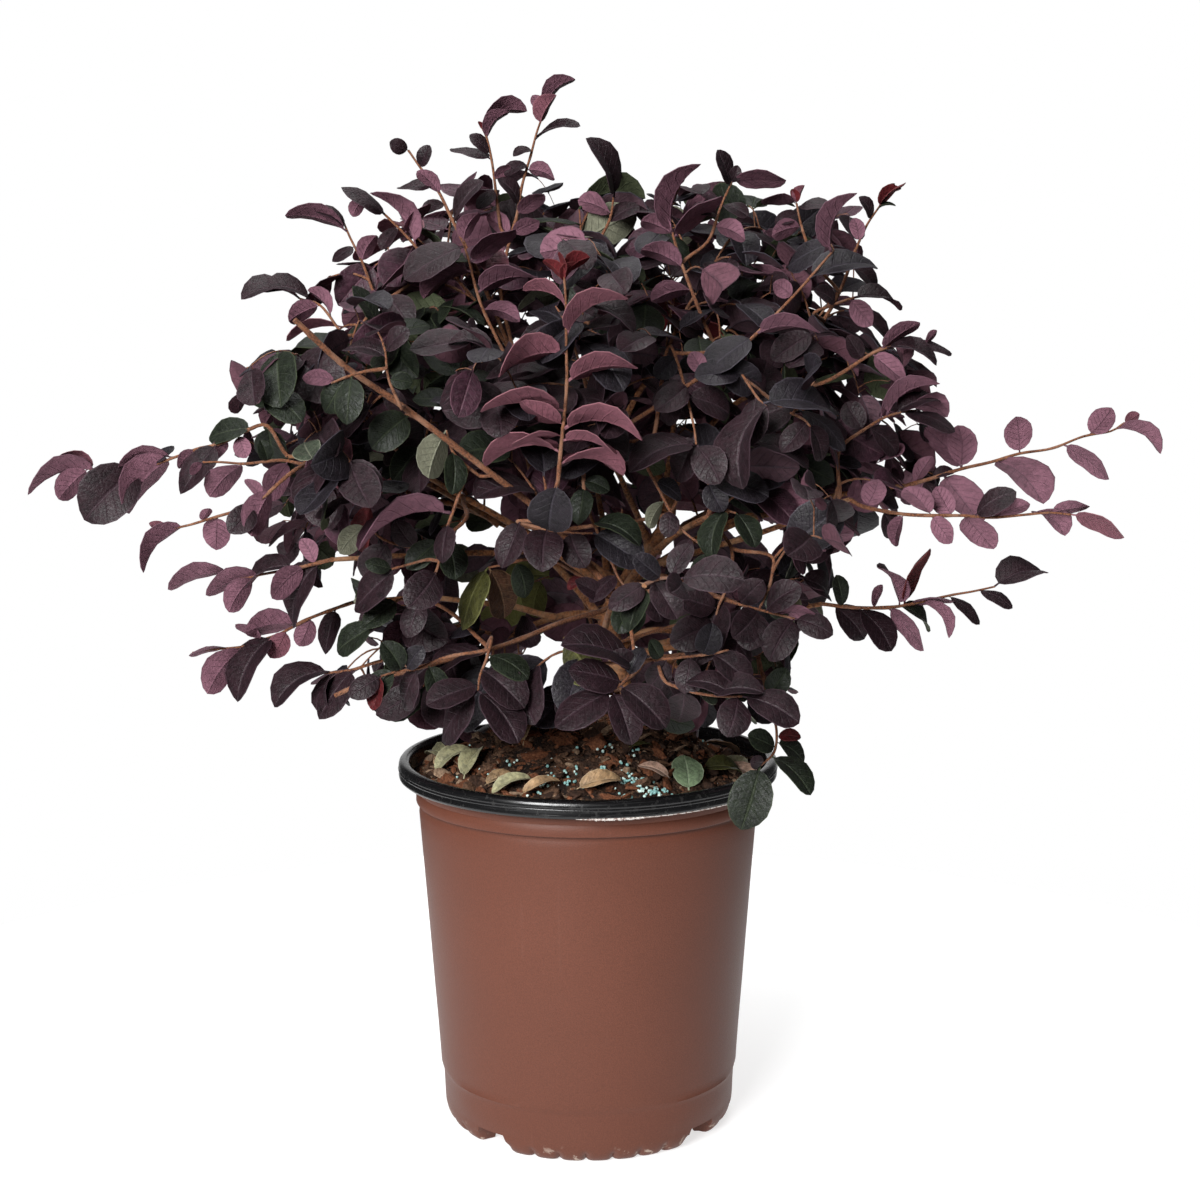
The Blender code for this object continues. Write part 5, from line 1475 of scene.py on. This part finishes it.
class Growth:
    """The stalks and leaves of one mass, as they grow."""

    def __init__(self, mass, seed):
        self.mass = mass
        self.chance = random.Random(seed)
        self.stalks = []
        self.leaves = []
        self.roots = [(point, 0.0014) for point in limbs[mass.name].fine[-6:]]

    def add_stalk(self, path, base, tip):
        count = len(path) - 1
        knots = [1.0 + 0.35 * max(0.0, noise.noise(point * 160.0)) for point in path]
        radii = [(base + (tip - base) * i / count) * knots[i] for i in range(count + 1)]
        self.stalks.append((path, radii))
        for point, radius in list(zip(path, radii))[2:]:
            self.roots.append((point, radius))
            wood_crowd.add(point)

    def roll(self):
        return self.chance.uniform(-1.0, 1.0)

    def room_for(self, root, along, length, free=False):
        middle, tip = root + along * length * 0.55, root + along * length
        if not in_the_open(middle, 0.004) or not in_the_open(tip, 0.002):
            return False
        if not free and (self.mass.clearance(middle) < -PLANE_OVERLAP or self.mass.depth(middle) > 1.15):
            return False
        if leaf_crowd.has_near(middle, LEAF_SPACING) or wood_crowd.has_near(middle, WOOD_SPACING):
            return False
        if not (free or in_outline(on_picture(middle)) and in_outline(on_picture(tip))):
            return False
        return not any(hides_placed(root + along * length * share) for share in (0.3, 0.6, 0.95))

    def add_leaf(self, root, along, face, size, look, bend=None, free=False):
        along = along.normalized()
        length = LEAF_LENGTH * size
        if not self.room_for(root, along, length, free):
            return False
        if bend is None:
            bend = self.chance.choice((0, 1, 1, 2, 2, 3, 4, 5, 7, 7))
        if self.chance.random() < 0.25:
            look = self.chance.choice(NEIGHBOURS[look])
        leaf_crowd.add(root + along * length * 0.55)
        self.leaves.append((root, along, face, length, self.chance.uniform(0.82, 1.06), bend, look))
        return True

    def facing(self, point, along):
        """Up and out to the light, with a turn of its own; some leaves are rolled and show their undersides."""
        outward = (point - CROWN_MIDDLE).normalized()
        face = UP * 0.50 + outward * 0.60 + Vector((self.roll(), self.roll(), self.roll())) * 0.30
        if self.chance.random() < 0.16:
            face = Matrix.Rotation(self.chance.choice((-1.0, 1.0)) * self.chance.uniform(0.8, 1.9), 3, along) @ face
        return face

    def leaves_along(self, path, first, look):
        """A leaf at the tip, and leaves in two ranks from there back to the first; gives the place of the last."""
        length = path_length(path)
        end, heading = place_along(path, 1.0)
        face = self.facing(end, heading)
        before = len(self.leaves)
        self.add_leaf(end - heading * 0.001, heading + UP * self.chance.uniform(-0.5, 0.2), face, self.chance.uniform(0.70, 0.92), look)
        side_way = UP if abs(heading.z) < 0.75 else Vector((self.roll(), self.roll(), 0.1)).normalized()
        rank = self.chance.choice((-1.0, 1.0))
        last = length if len(self.leaves) > before else 0.0
        place = length - self.chance.uniform(0.002, 0.006)
        while place > first:
            point, tangent = place_along(path, place / length)
            side = tangent.cross(side_way).normalized() * rank
            near_tip = 1.0 - smooth(length - place, 0.0, 0.025)
            droop = self.chance.choice((0.1, 0.3, 0.5, 0.8))
            size = (1.0 - 0.30 * near_tip) * self.chance.uniform(0.86, 1.04)
            for more in (0.0, 0.5, -0.5):
                along = tangent * math.cos(0.87) + side * math.sin(0.87) - UP * (droop + more)
                if self.add_leaf(point, along, self.facing(point, along.normalized()), size, look):
                    last = max(last, place)
                    break
            rank = -rank
            place -= LEAF_STEP * self.chance.uniform(0.85, 1.2)
        return last

    def add_twig(self, root, thick, direction, length):
        for share in (1.0, 0.72, 0.5):
            reach = length * share
            if reach < 0.014:
                return
            end = root + direction * reach
            path = wandering(arc_between(root, end, 0.14 * reach, 0.005), 0.0012, len(self.stalks))
            checked = path[2:]
            if all(in_the_open(point, 0.008) and self.mass.clearance(point) > -0.006 for point in checked) and not any(
                wood_crowd.has_near(point, 0.003) or hides_placed(point) for point in checked[1:]
            ):
                base = min(TWIG_BASE, thick * 0.9)
                last = self.leaves_along(path, 0.007, look_of_spray(end, self.chance))
                if last > 0.0:
                    self.add_stalk(cut_at(path, last), base, min(TWIG_TIP, base * 0.8))
                return

    def reach_towards(self, point, direction):
        reach = 0.0
        while reach < 0.12 and self.mass.depth(point + direction * reach) < 1.0 and self.mass.clearance(point + direction * reach) > 0.0:
            reach += 0.004
        return reach

    def first_twigs(self, stem):
        turn = self.chance.uniform(0.0, 2.0 * math.pi)
        length = path_length(stem)
        count = max(3, round(length / 0.016))
        for number in range(count):
            point, tangent = place_along(stem, (0.010 + (length * 0.94 - 0.010) * (number + 0.5) / count) / length)
            side = tangent.orthogonal().normalized()
            side.rotate(Matrix.Rotation(turn + number * GOLDEN_ANGLE, 3, tangent))
            direction = (tangent * math.cos(1.05) + side * math.sin(1.05)).normalized()
            self.add_twig(point, 0.0012, direction, min(0.075, self.reach_towards(point, direction) - 0.016))

    def open_place(self):
        best, widest = None, 0.004
        for _ in range(14):
            offset = [self.roll() for _ in range(3)]
            if math.hypot(*offset) > 0.97:
                continue
            point = self.mass.centre + sum((axis * share for axis, share in zip(self.mass.axes, offset)), Vector())
            if self.mass.clearance(point) < -0.004 or not in_the_open(point, 0.015) or not in_outline(on_picture(point)):
                continue
            room = min(((point - other).length for other in leaf_crowd.around(point, 2)), default=0.03)
            if room > widest:
                best, widest = point, room
        return best

    def fill(self, wanted):
        """More twigs towards open places, each from a root that lies further in than the place."""
        for _ in range(int(wanted * 1.6)):
            if len(self.leaves) >= wanted:
                return
            place = self.open_place()
            if place is None:
                continue
            nearest = sorted(self.roots, key=lambda root: (root[0] - place).length)[:40:4]
            outward = (place - CROWN_MIDDLE).normalized()
            root, thick = min(nearest, key=lambda root: (root[0] - place).length - 0.35 * (place - root[0]).dot(outward))
            away = place - root
            if away.length > 0.012:
                self.add_twig(root, thick, away.normalized(), min(0.08, away.length - 0.006))

    def grow(self):
        """The stem that leads on from the bough, then its twigs, then the filling."""
        foot = limbs[self.mass.name].fine[-1]
        if self.mass.is_shoot:
            head = self.mass.tip.lerp(foot, 0.22)
            stem = arc_between(foot, head, self.mass.sag, 0.005)
        else:
            outward = Vector((self.mass.centre.x - 0.024, self.mass.centre.y, 0.0)).normalized()
            lean = outward * 0.55 + UP * 0.85
            head = self.mass.centre + Vector([lean[i] * self.mass.halves[i] for i in range(3)]) * 0.55
            if self.mass.name == "spire":
                head = Vector((-0.008, -0.004, 0.586))
            while self.mass.clearance(head) < 0.0 or not in_the_open(head, 0.02):
                head = head.lerp(foot, 0.1)
            stem = arc_between(foot, head, 0.08 * (head - foot).length, 0.005)
        stem = wandering(stem, 0.0022, len(self.mass.name))
        last = self.leaves_along(stem, 0.012, look_of_spray(head, self.chance))
        stem = cut_at(stem, max(last, path_length(stem) * 0.5))
        self.add_stalk(stem, LIMB_TIP_RADIUS, TWIG_TIP)
        self.first_twigs(stem)
        self.fill(self.mass.leaves * LEAVES_FOR_ONE * OPENNESS.get(self.mass.name, 1.0))


# %% [markdown]
# ## The listed sprays
# What the eye knows the plant by is its outline: the arching shoots at the sides, the pink shoot in the middle, the
# bare bough at the left, the sprays that end the crown. These are given one by one. A spray has the mass that it
# belongs to, its stem and its leaves. A leaf has its root and its tip as seen from the front, its width there, and
# a letter for its look. A narrow leaf is a full one seen from the side, so the width gives its roll.

# %% The table of sprays, in millimetres
LETTERS = {  # look, and the side that shows
    "m": ("mauve", "under"), "d": ("dark", "top"), "b": ("blue", "top"), "g": ("green", "top"), "p": ("pink", "under"),
    "r": ("red", "under"), "R": ("red", "top"), "s": ("sage", "under"), "o": ("olive", "top"), "w": ("brown", "top"),
}
# Mass: points of the stem (x, y, z); leaves (root x, z, tip x, z, width, letter).
SPRAYS = """
right_upper_shoot: 189 -10 386, 203 -10 390, 222 -10 396, 239 -11 400, 256 -11 405, 275 -11 408, 293 -12 415,
 309 -12 418, 317 -12 423;
 223 398 217 422 18 m, 220 401 201 420 14 m, 257 406 251 427 17 m, 295 415 307 432 15 m, 317 422 327 428 8 p,
 312 418 336 405 5 m, 281 408 307 390 8 m, 243 401 275 374 17 m, 211 392 237 363 20 m, 206 391 218 395 6 d,
 195 387 203 404 12 m, 200 389 207 373 12 d

right_middle_shoot: 150 -55 381, 157 -57 377, 177 -59 373, 195 -61 372, 213 -62 372, 229 -64 371, 250 -66 373,
 261 -68 374, 272 -70 373;
 195 373 178 388 11 m, 206 372 198 388 13 m, 196 372 206 357 11 m, 213 371 233 352 14 m, 220 373 241 386 11 d,
 228 372 249 379 11 m, 250 373 272 360 7 m, 260 374 281 378 10 m, 272 373 299 361 9 p, 168 374 176 358 13 d,
 160 376 164 393 14 m, 181 373 174 355 10 m

right_lower_shoot: 139 -22 317, 157 -23 315, 177 -24 315, 190 -25 317, 202 -27 320, 215 -28 323, 226 -29 325,
 239 -30 328;
 187 322 200 351 12 r, 183 318 169 340 5 m, 188 321 215 320 7 m, 212 323 230 306 7 d, 228 326 248 316 7 d,
 238 328 270 335 12 d, 196 317 212 298 5 m, 183 315 202 300 7 g, 177 314 197 291 10 m, 161 315 179 290 16 d,
 145 315 165 295 18 d, 152 316 146 335 12 g, 168 315 175 328 7 m

left_upper_shoot: -197 3 422, -206 3 418, -218 2 412, -234 2 408, -245 2 404, -268 1 396, -279 1 395, -295 0 396,
 -309 0 401;
 -296 397 -313 405 6 p, -291 397 -330 382 7 m, -298 395 -314 379 13 m, -269 396 -298 367 32 d,
 -248 402 -273 371 15 m, -221 413 -241 382 22 d, -216 412 -226 401 10 m, -249 404 -278 398 8 m, -261 398 -248 410 7 b,
 -201 423 -228 415 14 g, -184 429 -192 400 20 g, -210 416 -203 403 11 m, -234 407 -244 397 6 m

left_upper_shoot: -170 -10 400, -180 -10 402, -192 -11 401, -203 -11 400, -216 -12 401, -227 -12 401;
 -203 400 -225 380 13 m, -189 401 -192 414 9 g, -176 400 -188 378 13 m, -226 401 -234 394 5 m

left_middle_shoot: -175 -50 391, -185 -52 382, -193 -54 377, -210 -56 372, -227 -58 367, -240 -60 365;
 -192 380 -202 363 16 d, -210 371 -213 352 16 m, -227 367 -250 341 6 m, -237 365 -247 369 7 p,
 -178 387 -190 361 13 m, -185 382 -194 393 8 m, -219 369 -213 377 5 m

left_middle_shoot: -148 -45 346, -165 -47 342, -187 -48 338, -197 -50 336, -204 -52 339;
 -203 339 -238 331 10 m, -187 338 -218 327 13 m, -192 336 -205 317 12 m, -169 339 -198 327 7 d,
 -153 343 -172 306 20 d, -162 342 -180 325 14 m, -155 344 -165 358 11 m

left_lower_shoot: -141 26 314, -153 27 310, -174 27 302, -189 28 294, -202 28 289, -214 29 285, -235 29 283,
 -246 30 281;
 -180 298 -210 296 17 m, -185 294 -196 279 14 p, -195 290 -215 253 21 d, -214 285 -235 257 16 m,
 -224 284 -247 280 5 m, -156 309 -162 281 15 d, -171 302 -178 286 13 m, -202 289 -217 300 9 m

low_left: -120 -70 290, -135 -67 285, -149 -63 283, -164 -60 282;
 -146 284 -177 265 12 d, -144 282 -147 260 9 d, -133 285 -151 259 17 d, -164 282 -179 276 6 d

spire: -48 -20 513, -44 -18 530, -40 -15 544, -37 -13 561, -32 -11 578, -28 -8 593, -22 -6 608;
 -23 606 -6 621 6 m, -24 603 -31 612 8 m, -26 597 -17 612 9 p, -29 587 -3 594 6 d, -34 571 -18 564 8 m,
 -34 573 -47 566 8 d, -41 545 -24 555 9 m, -38 549 -51 564 9 d, -43 534 -27 540 9 m, -44 530 -58 544 10 m,
 -32 580 -42 577 6 d

spire: -50 -15 538, -52 -14 555, -54 -14 572, -57 -13 587, -60 -12 594;
 -57 587 -44 602 5 m, -44 602 -34 604 4 m, -55 575 -79 583 8 d, -55 578 -67 589 8 d, -59 592 -62 597 3 r,
 -52 558 -63 547 9 d, -53 565 -44 572 6 m

spire: 8 -12 530, 14 -11 542, 16 -10 554;
 16 555 0 586 14 d, 14 544 -5 553 10 m, 12 540 31 550 10 d

top_left: -70 -30 527, -78 -28 543, -85 -25 557, -95 -22 570, -102 -20 580;
 -101 579 -112 584 9 d, -96 571 -89 582 9 d, -87 560 -109 559 9 d, -84 554 -96 567 8 m, -75 539 -58 561 10 d,
 -80 548 -94 543 9 d

top_left: -89 -40 515, -101 -37 529, -114 -33 542, -126 -30 553;
 -114 542 -138 557 9 d, -103 530 -88 548 5 m, -89 530 -121 553 10 m, -126 553 -134 542 7 m, -107 535 -116 522 9 d

top_left: -124 -20 501, -130 -17 517, -137 -15 531, -141 -12 540;
 -139 533 -173 543 8 m, -140 537 -157 546 7 d, -136 526 -147 517 8 d, -131 517 -121 532 9 m

top_left: -140 -45 477, -151 -42 491, -163 -40 495;
 -163 495 -194 494 9 d, -156 494 -184 499 9 d, -152 491 -168 482 10 m, -146 485 -159 500 8 m

spire: -46 -60 464, -58 -65 490, -64 -70 513, -67 -75 524;
 -64 513 -38 530 9 m, -58 497 -26 504 9 m, -65 509 -91 494 10 m, -71 520 -99 503 19 d, -57 487 -37 481 10 m,
 -67 523 -58 539 9 m

top_front: -16 -150 391, -14 -154 396, -12 -159 415, -9 -163 444, -9 -167 467, -9 -172 487, -10 -176 502;
 -10 485 -31 493 5 p, -9 471 22 488 6 p, -9 462 -42 450 12 p, -7 447 27 454 10 p, -10 432 -52 433 7 p,
 -10 426 -32 438 11 p, -12 412 -52 404 6 p, -11 420 -37 416 5 p, -9 422 29 418 6 p, -10 417 16 411 5 p,
 -11 405 20 399 5 p, -9 495 -20 507 5 r, -9 495 3 509 6 r, -10 500 -12 511 3 r, -10 497 -4 506 3 r,
 -15 396 -19 370 23 b

front_left: -96 -140 436, -101 -144 449, -102 -148 463;
 -102 459 -125 464 9 d, -102 462 -89 474 10 d, -101 450 -89 447 9 g

front_left: -116 -150 452, -122 -152 450, -129 -155 447;
 -122 449 -134 432 15 g, -119 448 -121 426 17 g, -127 447 -143 450 10 m

top_right: 63 -50 490, 55 -49 511, 49 -48 530, 47 -46 543, 53 -45 557;
 54 557 51 566 4 r, 53 557 60 567 4 r, 50 546 46 561 4 d, 49 531 64 567 10 m, 50 529 31 537 10 m, 55 511 31 521 10 m,
 51 527 76 550 9 m, 59 499 37 493 10 m

top_right: 72 -40 532, 77 -38 547, 83 -35 560;
 83 561 113 560 9 m, 81 557 74 577 10 d, 83 560 86 569 7 d, 77 546 92 540 8 d, 75 541 59 543 10 d, 73 534 90 527 10 m

far_right_top: 45 -110 439, 72 -105 457, 90 -100 471, 114 -95 495, 131 -90 514, 135 -85 518;
 134 516 145 547 11 m, 123 502 159 510 13 b, 114 493 101 500 10 m, 94 472 125 473 8 m, 90 471 64 452 16 b,
 73 458 94 444 18 b, 62 450 56 463 10 m, 56 447 37 432 16 d

far_right_top: 151 -20 509, 157 -18 525, 163 -17 538, 170 -15 548;
 171 550 178 561 6 r, 172 550 182 558 5 r, 170 548 184 561 3 r, 166 541 157 553 8 d, 158 527 154 541 9 m,
 169 544 179 548 2 g, 153 513 169 500 10 d

far_right_top: 128 -30 522, 123 -28 538, 121 -25 549;
 121 548 125 559 6 p, 121 548 118 557 5 r, 122 544 108 537 10 d, 124 546 141 546 8 d, 109 548 100 550 5 m,
 123 536 106 530 10 m

far_right_top: 133 -40 488, 153 -35 495, 162 -30 496;
 153 495 181 488 8 d, 150 493 163 479 13 m, 142 490 129 499 9 d

right: 145 -60 453, 163 -57 464, 180 -53 468, 192 -50 468;
 183 468 208 463 6 d, 165 465 186 480 10 m, 168 464 196 456 9 d, 160 462 180 446 11 m, 155 458 146 473 11 d,
 192 468 199 476 5 m

right: 149 -55 415, 167 -52 426, 179 -48 430, 188 -45 431;
 180 430 208 419 9 d, 176 429 202 436 9 d, 181 430 208 427 10 m, 167 425 192 441 10 m, 161 422 178 406 15 d,
 156 419 148 436 14 d, 171 427 198 446 9 m

low_front: 25 -125 310, 26 -132 299, 21 -138 291, 14 -145 286;
 21 299 -13 311 13 d, 19 289 -9 298 15 d, 13 287 -16 269 16 d, 15 286 24 259 18 d, 18 287 42 267 16 d,
 26 296 14 306 10 d, 23 293 31 307 10 b

low_right_front: 25 -120 298, 49 -127 301, 67 -133 304, 75 -140 307;
 56 302 52 283 14 d, 67 305 87 288 14 d, 61 303 67 321 14 b, 44 301 34 284 14 d, 40 300 34 311 9 g

low_right_front: 45 -130 287, 57 -137 284, 70 -143 283, 82 -150 284;
 52 285 50 264 20 d, 75 294 53 290 9 d, 79 283 73 265 18 d, 82 284 111 271 14 d, 68 283 93 286 8 d,
 42 288 48 276 13 d, 60 283 55 293 9 d

low_right_front: 63 -110 334, 83 -113 328, 99 -117 324, 112 -120 321;
 68 332 43 322 17 d, 73 330 58 296 21 d, 90 327 87 305 19 d, 111 322 98 299 18 d, 82 329 95 342 14 d,
 96 325 115 339 13 d, 112 321 132 313 14 d, 102 323 123 324 10 m

low_left: -52 -110 306, -54 -115 298, -57 -120 291, -58 -125 283;
 -58 287 -85 277 13 d, -59 282 -79 253 15 d, -58 282 -36 257 15 d, -55 294 -33 274 17 d, -54 300 -31 289 11 g,
 -56 297 -86 285 10 d

low_left: -83 -115 297, -91 -118 294, -102 -122 293, -110 -125 291;
 -91 294 -100 270 13 d, -87 296 -79 277 13 g, -98 294 -109 310 13 g, -102 293 -119 278 13 g, -110 291 -127 281 13 d,
 -96 294 -87 307 11 b, -112 291 -114 273 9 R

hanging_shoot: 96 -80 295, 99 -86 282, 102 -93 269, 105 -99 256, 103 -106 245, 95 -112 239;
 93 239 84 205 24 g, 101 275 111 290 13 g, 105 253 118 253 6 R, 106 250 121 237 9 g, 105 241 122 224 10 g,
 104 246 88 256 11 g, 100 237 89 243 8 d

front_left: -58 -108 398, -65 -112 404, -71 -115 411, -74 -116 422;
 -74 423 -83 397 15 s, -72 411 -71 388 14 g

front_left: -80 -122 422, -88 -124 428, -95 -126 431;
 -93 430 -112 413 19 g, -97 430 -104 444 11 d

low_front: -36 -90 350, -48 -90 347, -54 -90 346;
 -55 346 -46 316 16 w, -83 330 -68 312 14 o, -39 349 -34 328 14 g

top_front: -36 -105 372, -21 -105 368, -6 -105 366, 4 -105 366;
 -36 373 -45 348 18 d, -20 368 -23 347 21 d, -8 366 0 348 16 d, 4 366 31 349 20 b

front_left: -71 -120 378, -76 -120 364, -80 -120 347, -89 -120 332;
 -71 378 -119 360 6 m, -73 374 -76 352 12 d, -80 347 -94 329 20 d

front_left: -88 -112 352, -96 -115 350, -104 -118 348;
 -102 348 -126 325 18 d, -104 348 -118 352 9 g

front_right: 79 -108 349, 76 -113 337, 71 -116 326, 70 -116 317;
 70 326 46 335 17 d, 70 318 45 308 19 d

front_right: 102 -106 349, 99 -112 337, 93 -116 325;
 93 325 78 312 18 d, 99 337 107 320 14 g

left: -71 -95 368, -80 -100 362, -93 -100 358, -110 -98 362, -120 -95 370;
 -80 362 -97 347 15 g, -120 370 -134 355 14 s, -106 361 -119 336 19 d, -77 364 -71 341 14 g, -93 358 -103 373 13 d

low_left: -80 -95 325, -88 -98 329, -103 -100 329, -116 -102 315;
 -103 329 -122 315 15 g, -116 315 -138 300 14 g, -110 322 -128 328 11 s, -90 329 -98 309 15 d

low_front: 2 -100 338, 8 -105 333, 14 -107 330, 24 -108 327;
 10 331 -6 341 12 d, 24 327 17 313 14 g, 2 338 -10 335 4 R

front_right: 60 -108 405, 65 -108 396, 70 -108 386, 76 -108 379, 81 -108 377;
 75 378 68 353 12 g, 81 377 91 359 12 g, 64 393 74 378 13 b, 70 395 98 386 14 b

front_right: 34 -106 400, 39 -106 391, 44 -106 381, 52 -106 368, 62 -106 360, 67 -106 356;
 40 384 34 369 8 s, 37 393 52 384 9 b, 51 380 44 364 11 d, 66 356 61 338 15 g, 56 363 49 352 8 d

low_front: -1 -104 401, -1 -104 391, 2 -104 377, 7 -104 365, 14 -104 350, 20 -104 338, 29 -104 334;
 -1 391 -4 371 14 g, 7 363 31 352 15 b, 8 373 29 360 10 g, 14 344 2 329 9 d, 20 331 23 311 12 g, 29 335 41 318 10 d,
 0 395 13 389 10 g

front_right: 48 -98 463, 52 -102 450, 55 -108 437, 58 -114 423, 59 -118 414;
 49 461 37 450 12 b, 52 450 44 424 18 d, 55 439 78 430 15 d, 57 419 49 394 18 d, 59 415 71 394 19 d,
 55 414 23 400 14 d

front_right: 80 -100 458, 86 -108 448, 92 -118 438, 96 -122 434;
 84 451 58 450 14 b, 96 436 133 428 15 b, 97 434 83 391 14 d, 92 440 88 414 15 d, 84 451 97 442 10 d

front_right: 112 -100 430, 117 -112 427, 119 -120 424;
 118 425 127 405 11 d, 118 426 104 410 14 d

front_shoot: 30 -170 345, 36 -190 350, 42 -212 353, 46 -232 354;
 30 346 12 334 14 d, 34 349 46 330 15 d, 38 351 24 363 12 b, 45 354 76 354 15 d, 42 353 52 369 12 d,
 46 354 40 350 15 d, 46 354 50 347 14 d, 30 344 22 322 13 g
"""
# Mass and radius at the start: points.
BARE_BOUGHS = """
front_left 2.0: -36 -105 387, -67 -118 412, -97 -130 436, -124 -142 456, -147 -155 479

low_left 1.5: 8 -30 314, -15 -50 310, -38 -70 303, -59 -85 298, -81 -95 294, -102 -100 289, -124 -103 283,
 -138 -105 277

right 1.5: 28 4 332, 41 -6 346, 55 -18 359, 69 -28 367, 82 -38 373

front_right 1.5: 36 -6 335, 60 -30 330, 74 -45 325, 86 -58 322

low_right_front 1.3: 20 -4 292, 37 -22 300, 55 -40 308

top_front 1.4: -8 -60 365, 13 -62 368, 38 -60 371, 48 -60 375, 53 -62 386

low_right_front 1.5: 14 -20 265, 28 -40 279, 35 -52 288, 53 -70 294, 72 -85 297
"""


def records(text):
    """The paragraphs of a table: the words before the colon, and the lists of cells after it, split at semicolons."""
    for paragraph in text.strip().split("\n\n"):
        head, lists = paragraph.split(":")
        cells = [[word.split() for word in part.split(",")] for part in lists.split(";")]
        yield head.split(), [[tuple(w if w.isalpha() else float(w) for w in cell) for cell in part] for part in cells]


# %% Place the sprays
def placed_leaf(growth, stem, row):
    """Turns a leaf's outline as seen into a whole leaf: its depth from its width, its roll from its narrowness."""
    x1, z1, x2, z2, width, letter = row
    look, shown = LETTERS[letter]
    chance = growth.chance
    root = min(stem, key=lambda point: math.hypot(point.x - x1 / 1000.0, point.z - z1 / 1000.0))
    seen = Vector((x2 / 1000.0 - root.x, 0.0, z2 / 1000.0 - root.z))
    width /= 1000.0
    full = max(seen.length * chance.uniform(1.02, 1.08), min(0.045, width / (LEAF_WIDTH * 1.05)))
    depth = math.sqrt(full * full - seen.length * seen.length)
    along = seen + Vector((0.0, -depth if chance.random() < 0.75 else depth, 0.0))
    if abs((root + along).y) > HALF_DEPTH:
        along.y = 0.0
    roll = math.acos(min(1.0, max(0.17, width / (LEAF_WIDTH * full))))
    aside = Vector((-seen.z, 0.0, seen.x)).normalized()
    aside = aside if aside.z > 0.0 else -aside
    toward = Vector((0.0, -1.0 if shown == "top" else 1.0, 0.0))
    face = toward * math.cos(roll) + aside * math.sin(roll)
    bends = (2, 3, 3, 7) if roll > 1.0 else (1, 2, 7, 4) if look not in ("pink", "red") else (6, 5, 1)
    leaf_crowd.add(root + along * 0.55)
    for place in (0.3, 0.6, 0.9):
        remember_placed(placed_leaves, root + along * place)
    share = min(1.12, max(0.85, width / (LEAF_WIDTH * full))) if roll < 0.6 else 1.0
    growth.leaves.append((root, along.normalized(), face, full, share, chance.choice(bends), look))


def spring_for(start, heading, wood):
    """The place on older wood that a stem can leave without going far and without turning sharply."""
    def cost(place):
        way = start - place[0]
        return way.length * (1.0 + 1.4 * (1.0 - way.normalized().dot(heading)))

    return min(wood, key=cost)


def lay_stem(growth, points, base, tip):
    """A stem through the points, led back smoothly to the handiest wood of the plant."""
    stem = rounded([Vector(point) / 1000.0 for point in points], 0.003)
    wood = [place for limb in limbs.values() for place in zip(limb.fine, limb.radii)] + growth.roots
    heading = (stem[1] - stem[0]).normalized()
    root, thick = spring_for(stem[0], heading, wood)
    gap = (stem[0] - root).length
    if gap > 0.002:
        link = [bezier([root, root.lerp(stem[0], 0.4), stem[0] - heading * gap * 0.4, stem[0]], i / 8) for i in range(8)]
        stem = link + stem
    growth.add_stalk(stem, max(base, min(thick, 0.0013)), tip)
    return stem


growths = {name: Growth(mass, 100 + number) for number, (name, mass) in enumerate(MASSES.items())}
for (name, radius), (points,) in records(BARE_BOUGHS):
    for point in lay_stem(growths[name], points, float(radius) / 1000.0, float(radius) * 0.0008):
        remember_placed(placed_wood, point)
for (name,), (points, rows) in records(SPRAYS):
    stem = lay_stem(growths[name], points, 0.00110, 0.0006)
    for row in rows:
        placed_leaf(growths[name], stem, row)
print("leaves placed by hand:", sum(len(growth.leaves) for growth in growths.values()))

# %% Let the rest grow
for name, growth in growths.items():
    if not MASSES[name].is_shoot or not growth.leaves:
        growth.grow()
print("leaves in all:", sum(len(growth.leaves) for growth in growths.values()))

# %% [markdown]
# ## From growth to pieces
# Each mass becomes two pieces: its twigs, in bark, and its leaves. They stand for the same solid together.

# %% Make the twigs and the leaves of each mass
triangles = 0
for name, growth in growths.items():
    twigs = stalks_mesh("twigs_" + name, growth.stalks, 6, 0.10, 900.0, TWIG_BARK)
    piece("twigs_" + name, twigs, ["foliage_" + name])
    leaves = leaves_mesh("leaves_" + name, growth.leaves)
    piece("leaves_" + name, leaves, ["foliage_" + name])
    triangles += sum(len(face.vertices) - 2 for mesh in (twigs, leaves) for face in mesh.polygons)
print("triangles of twigs and leaves:", triangles)
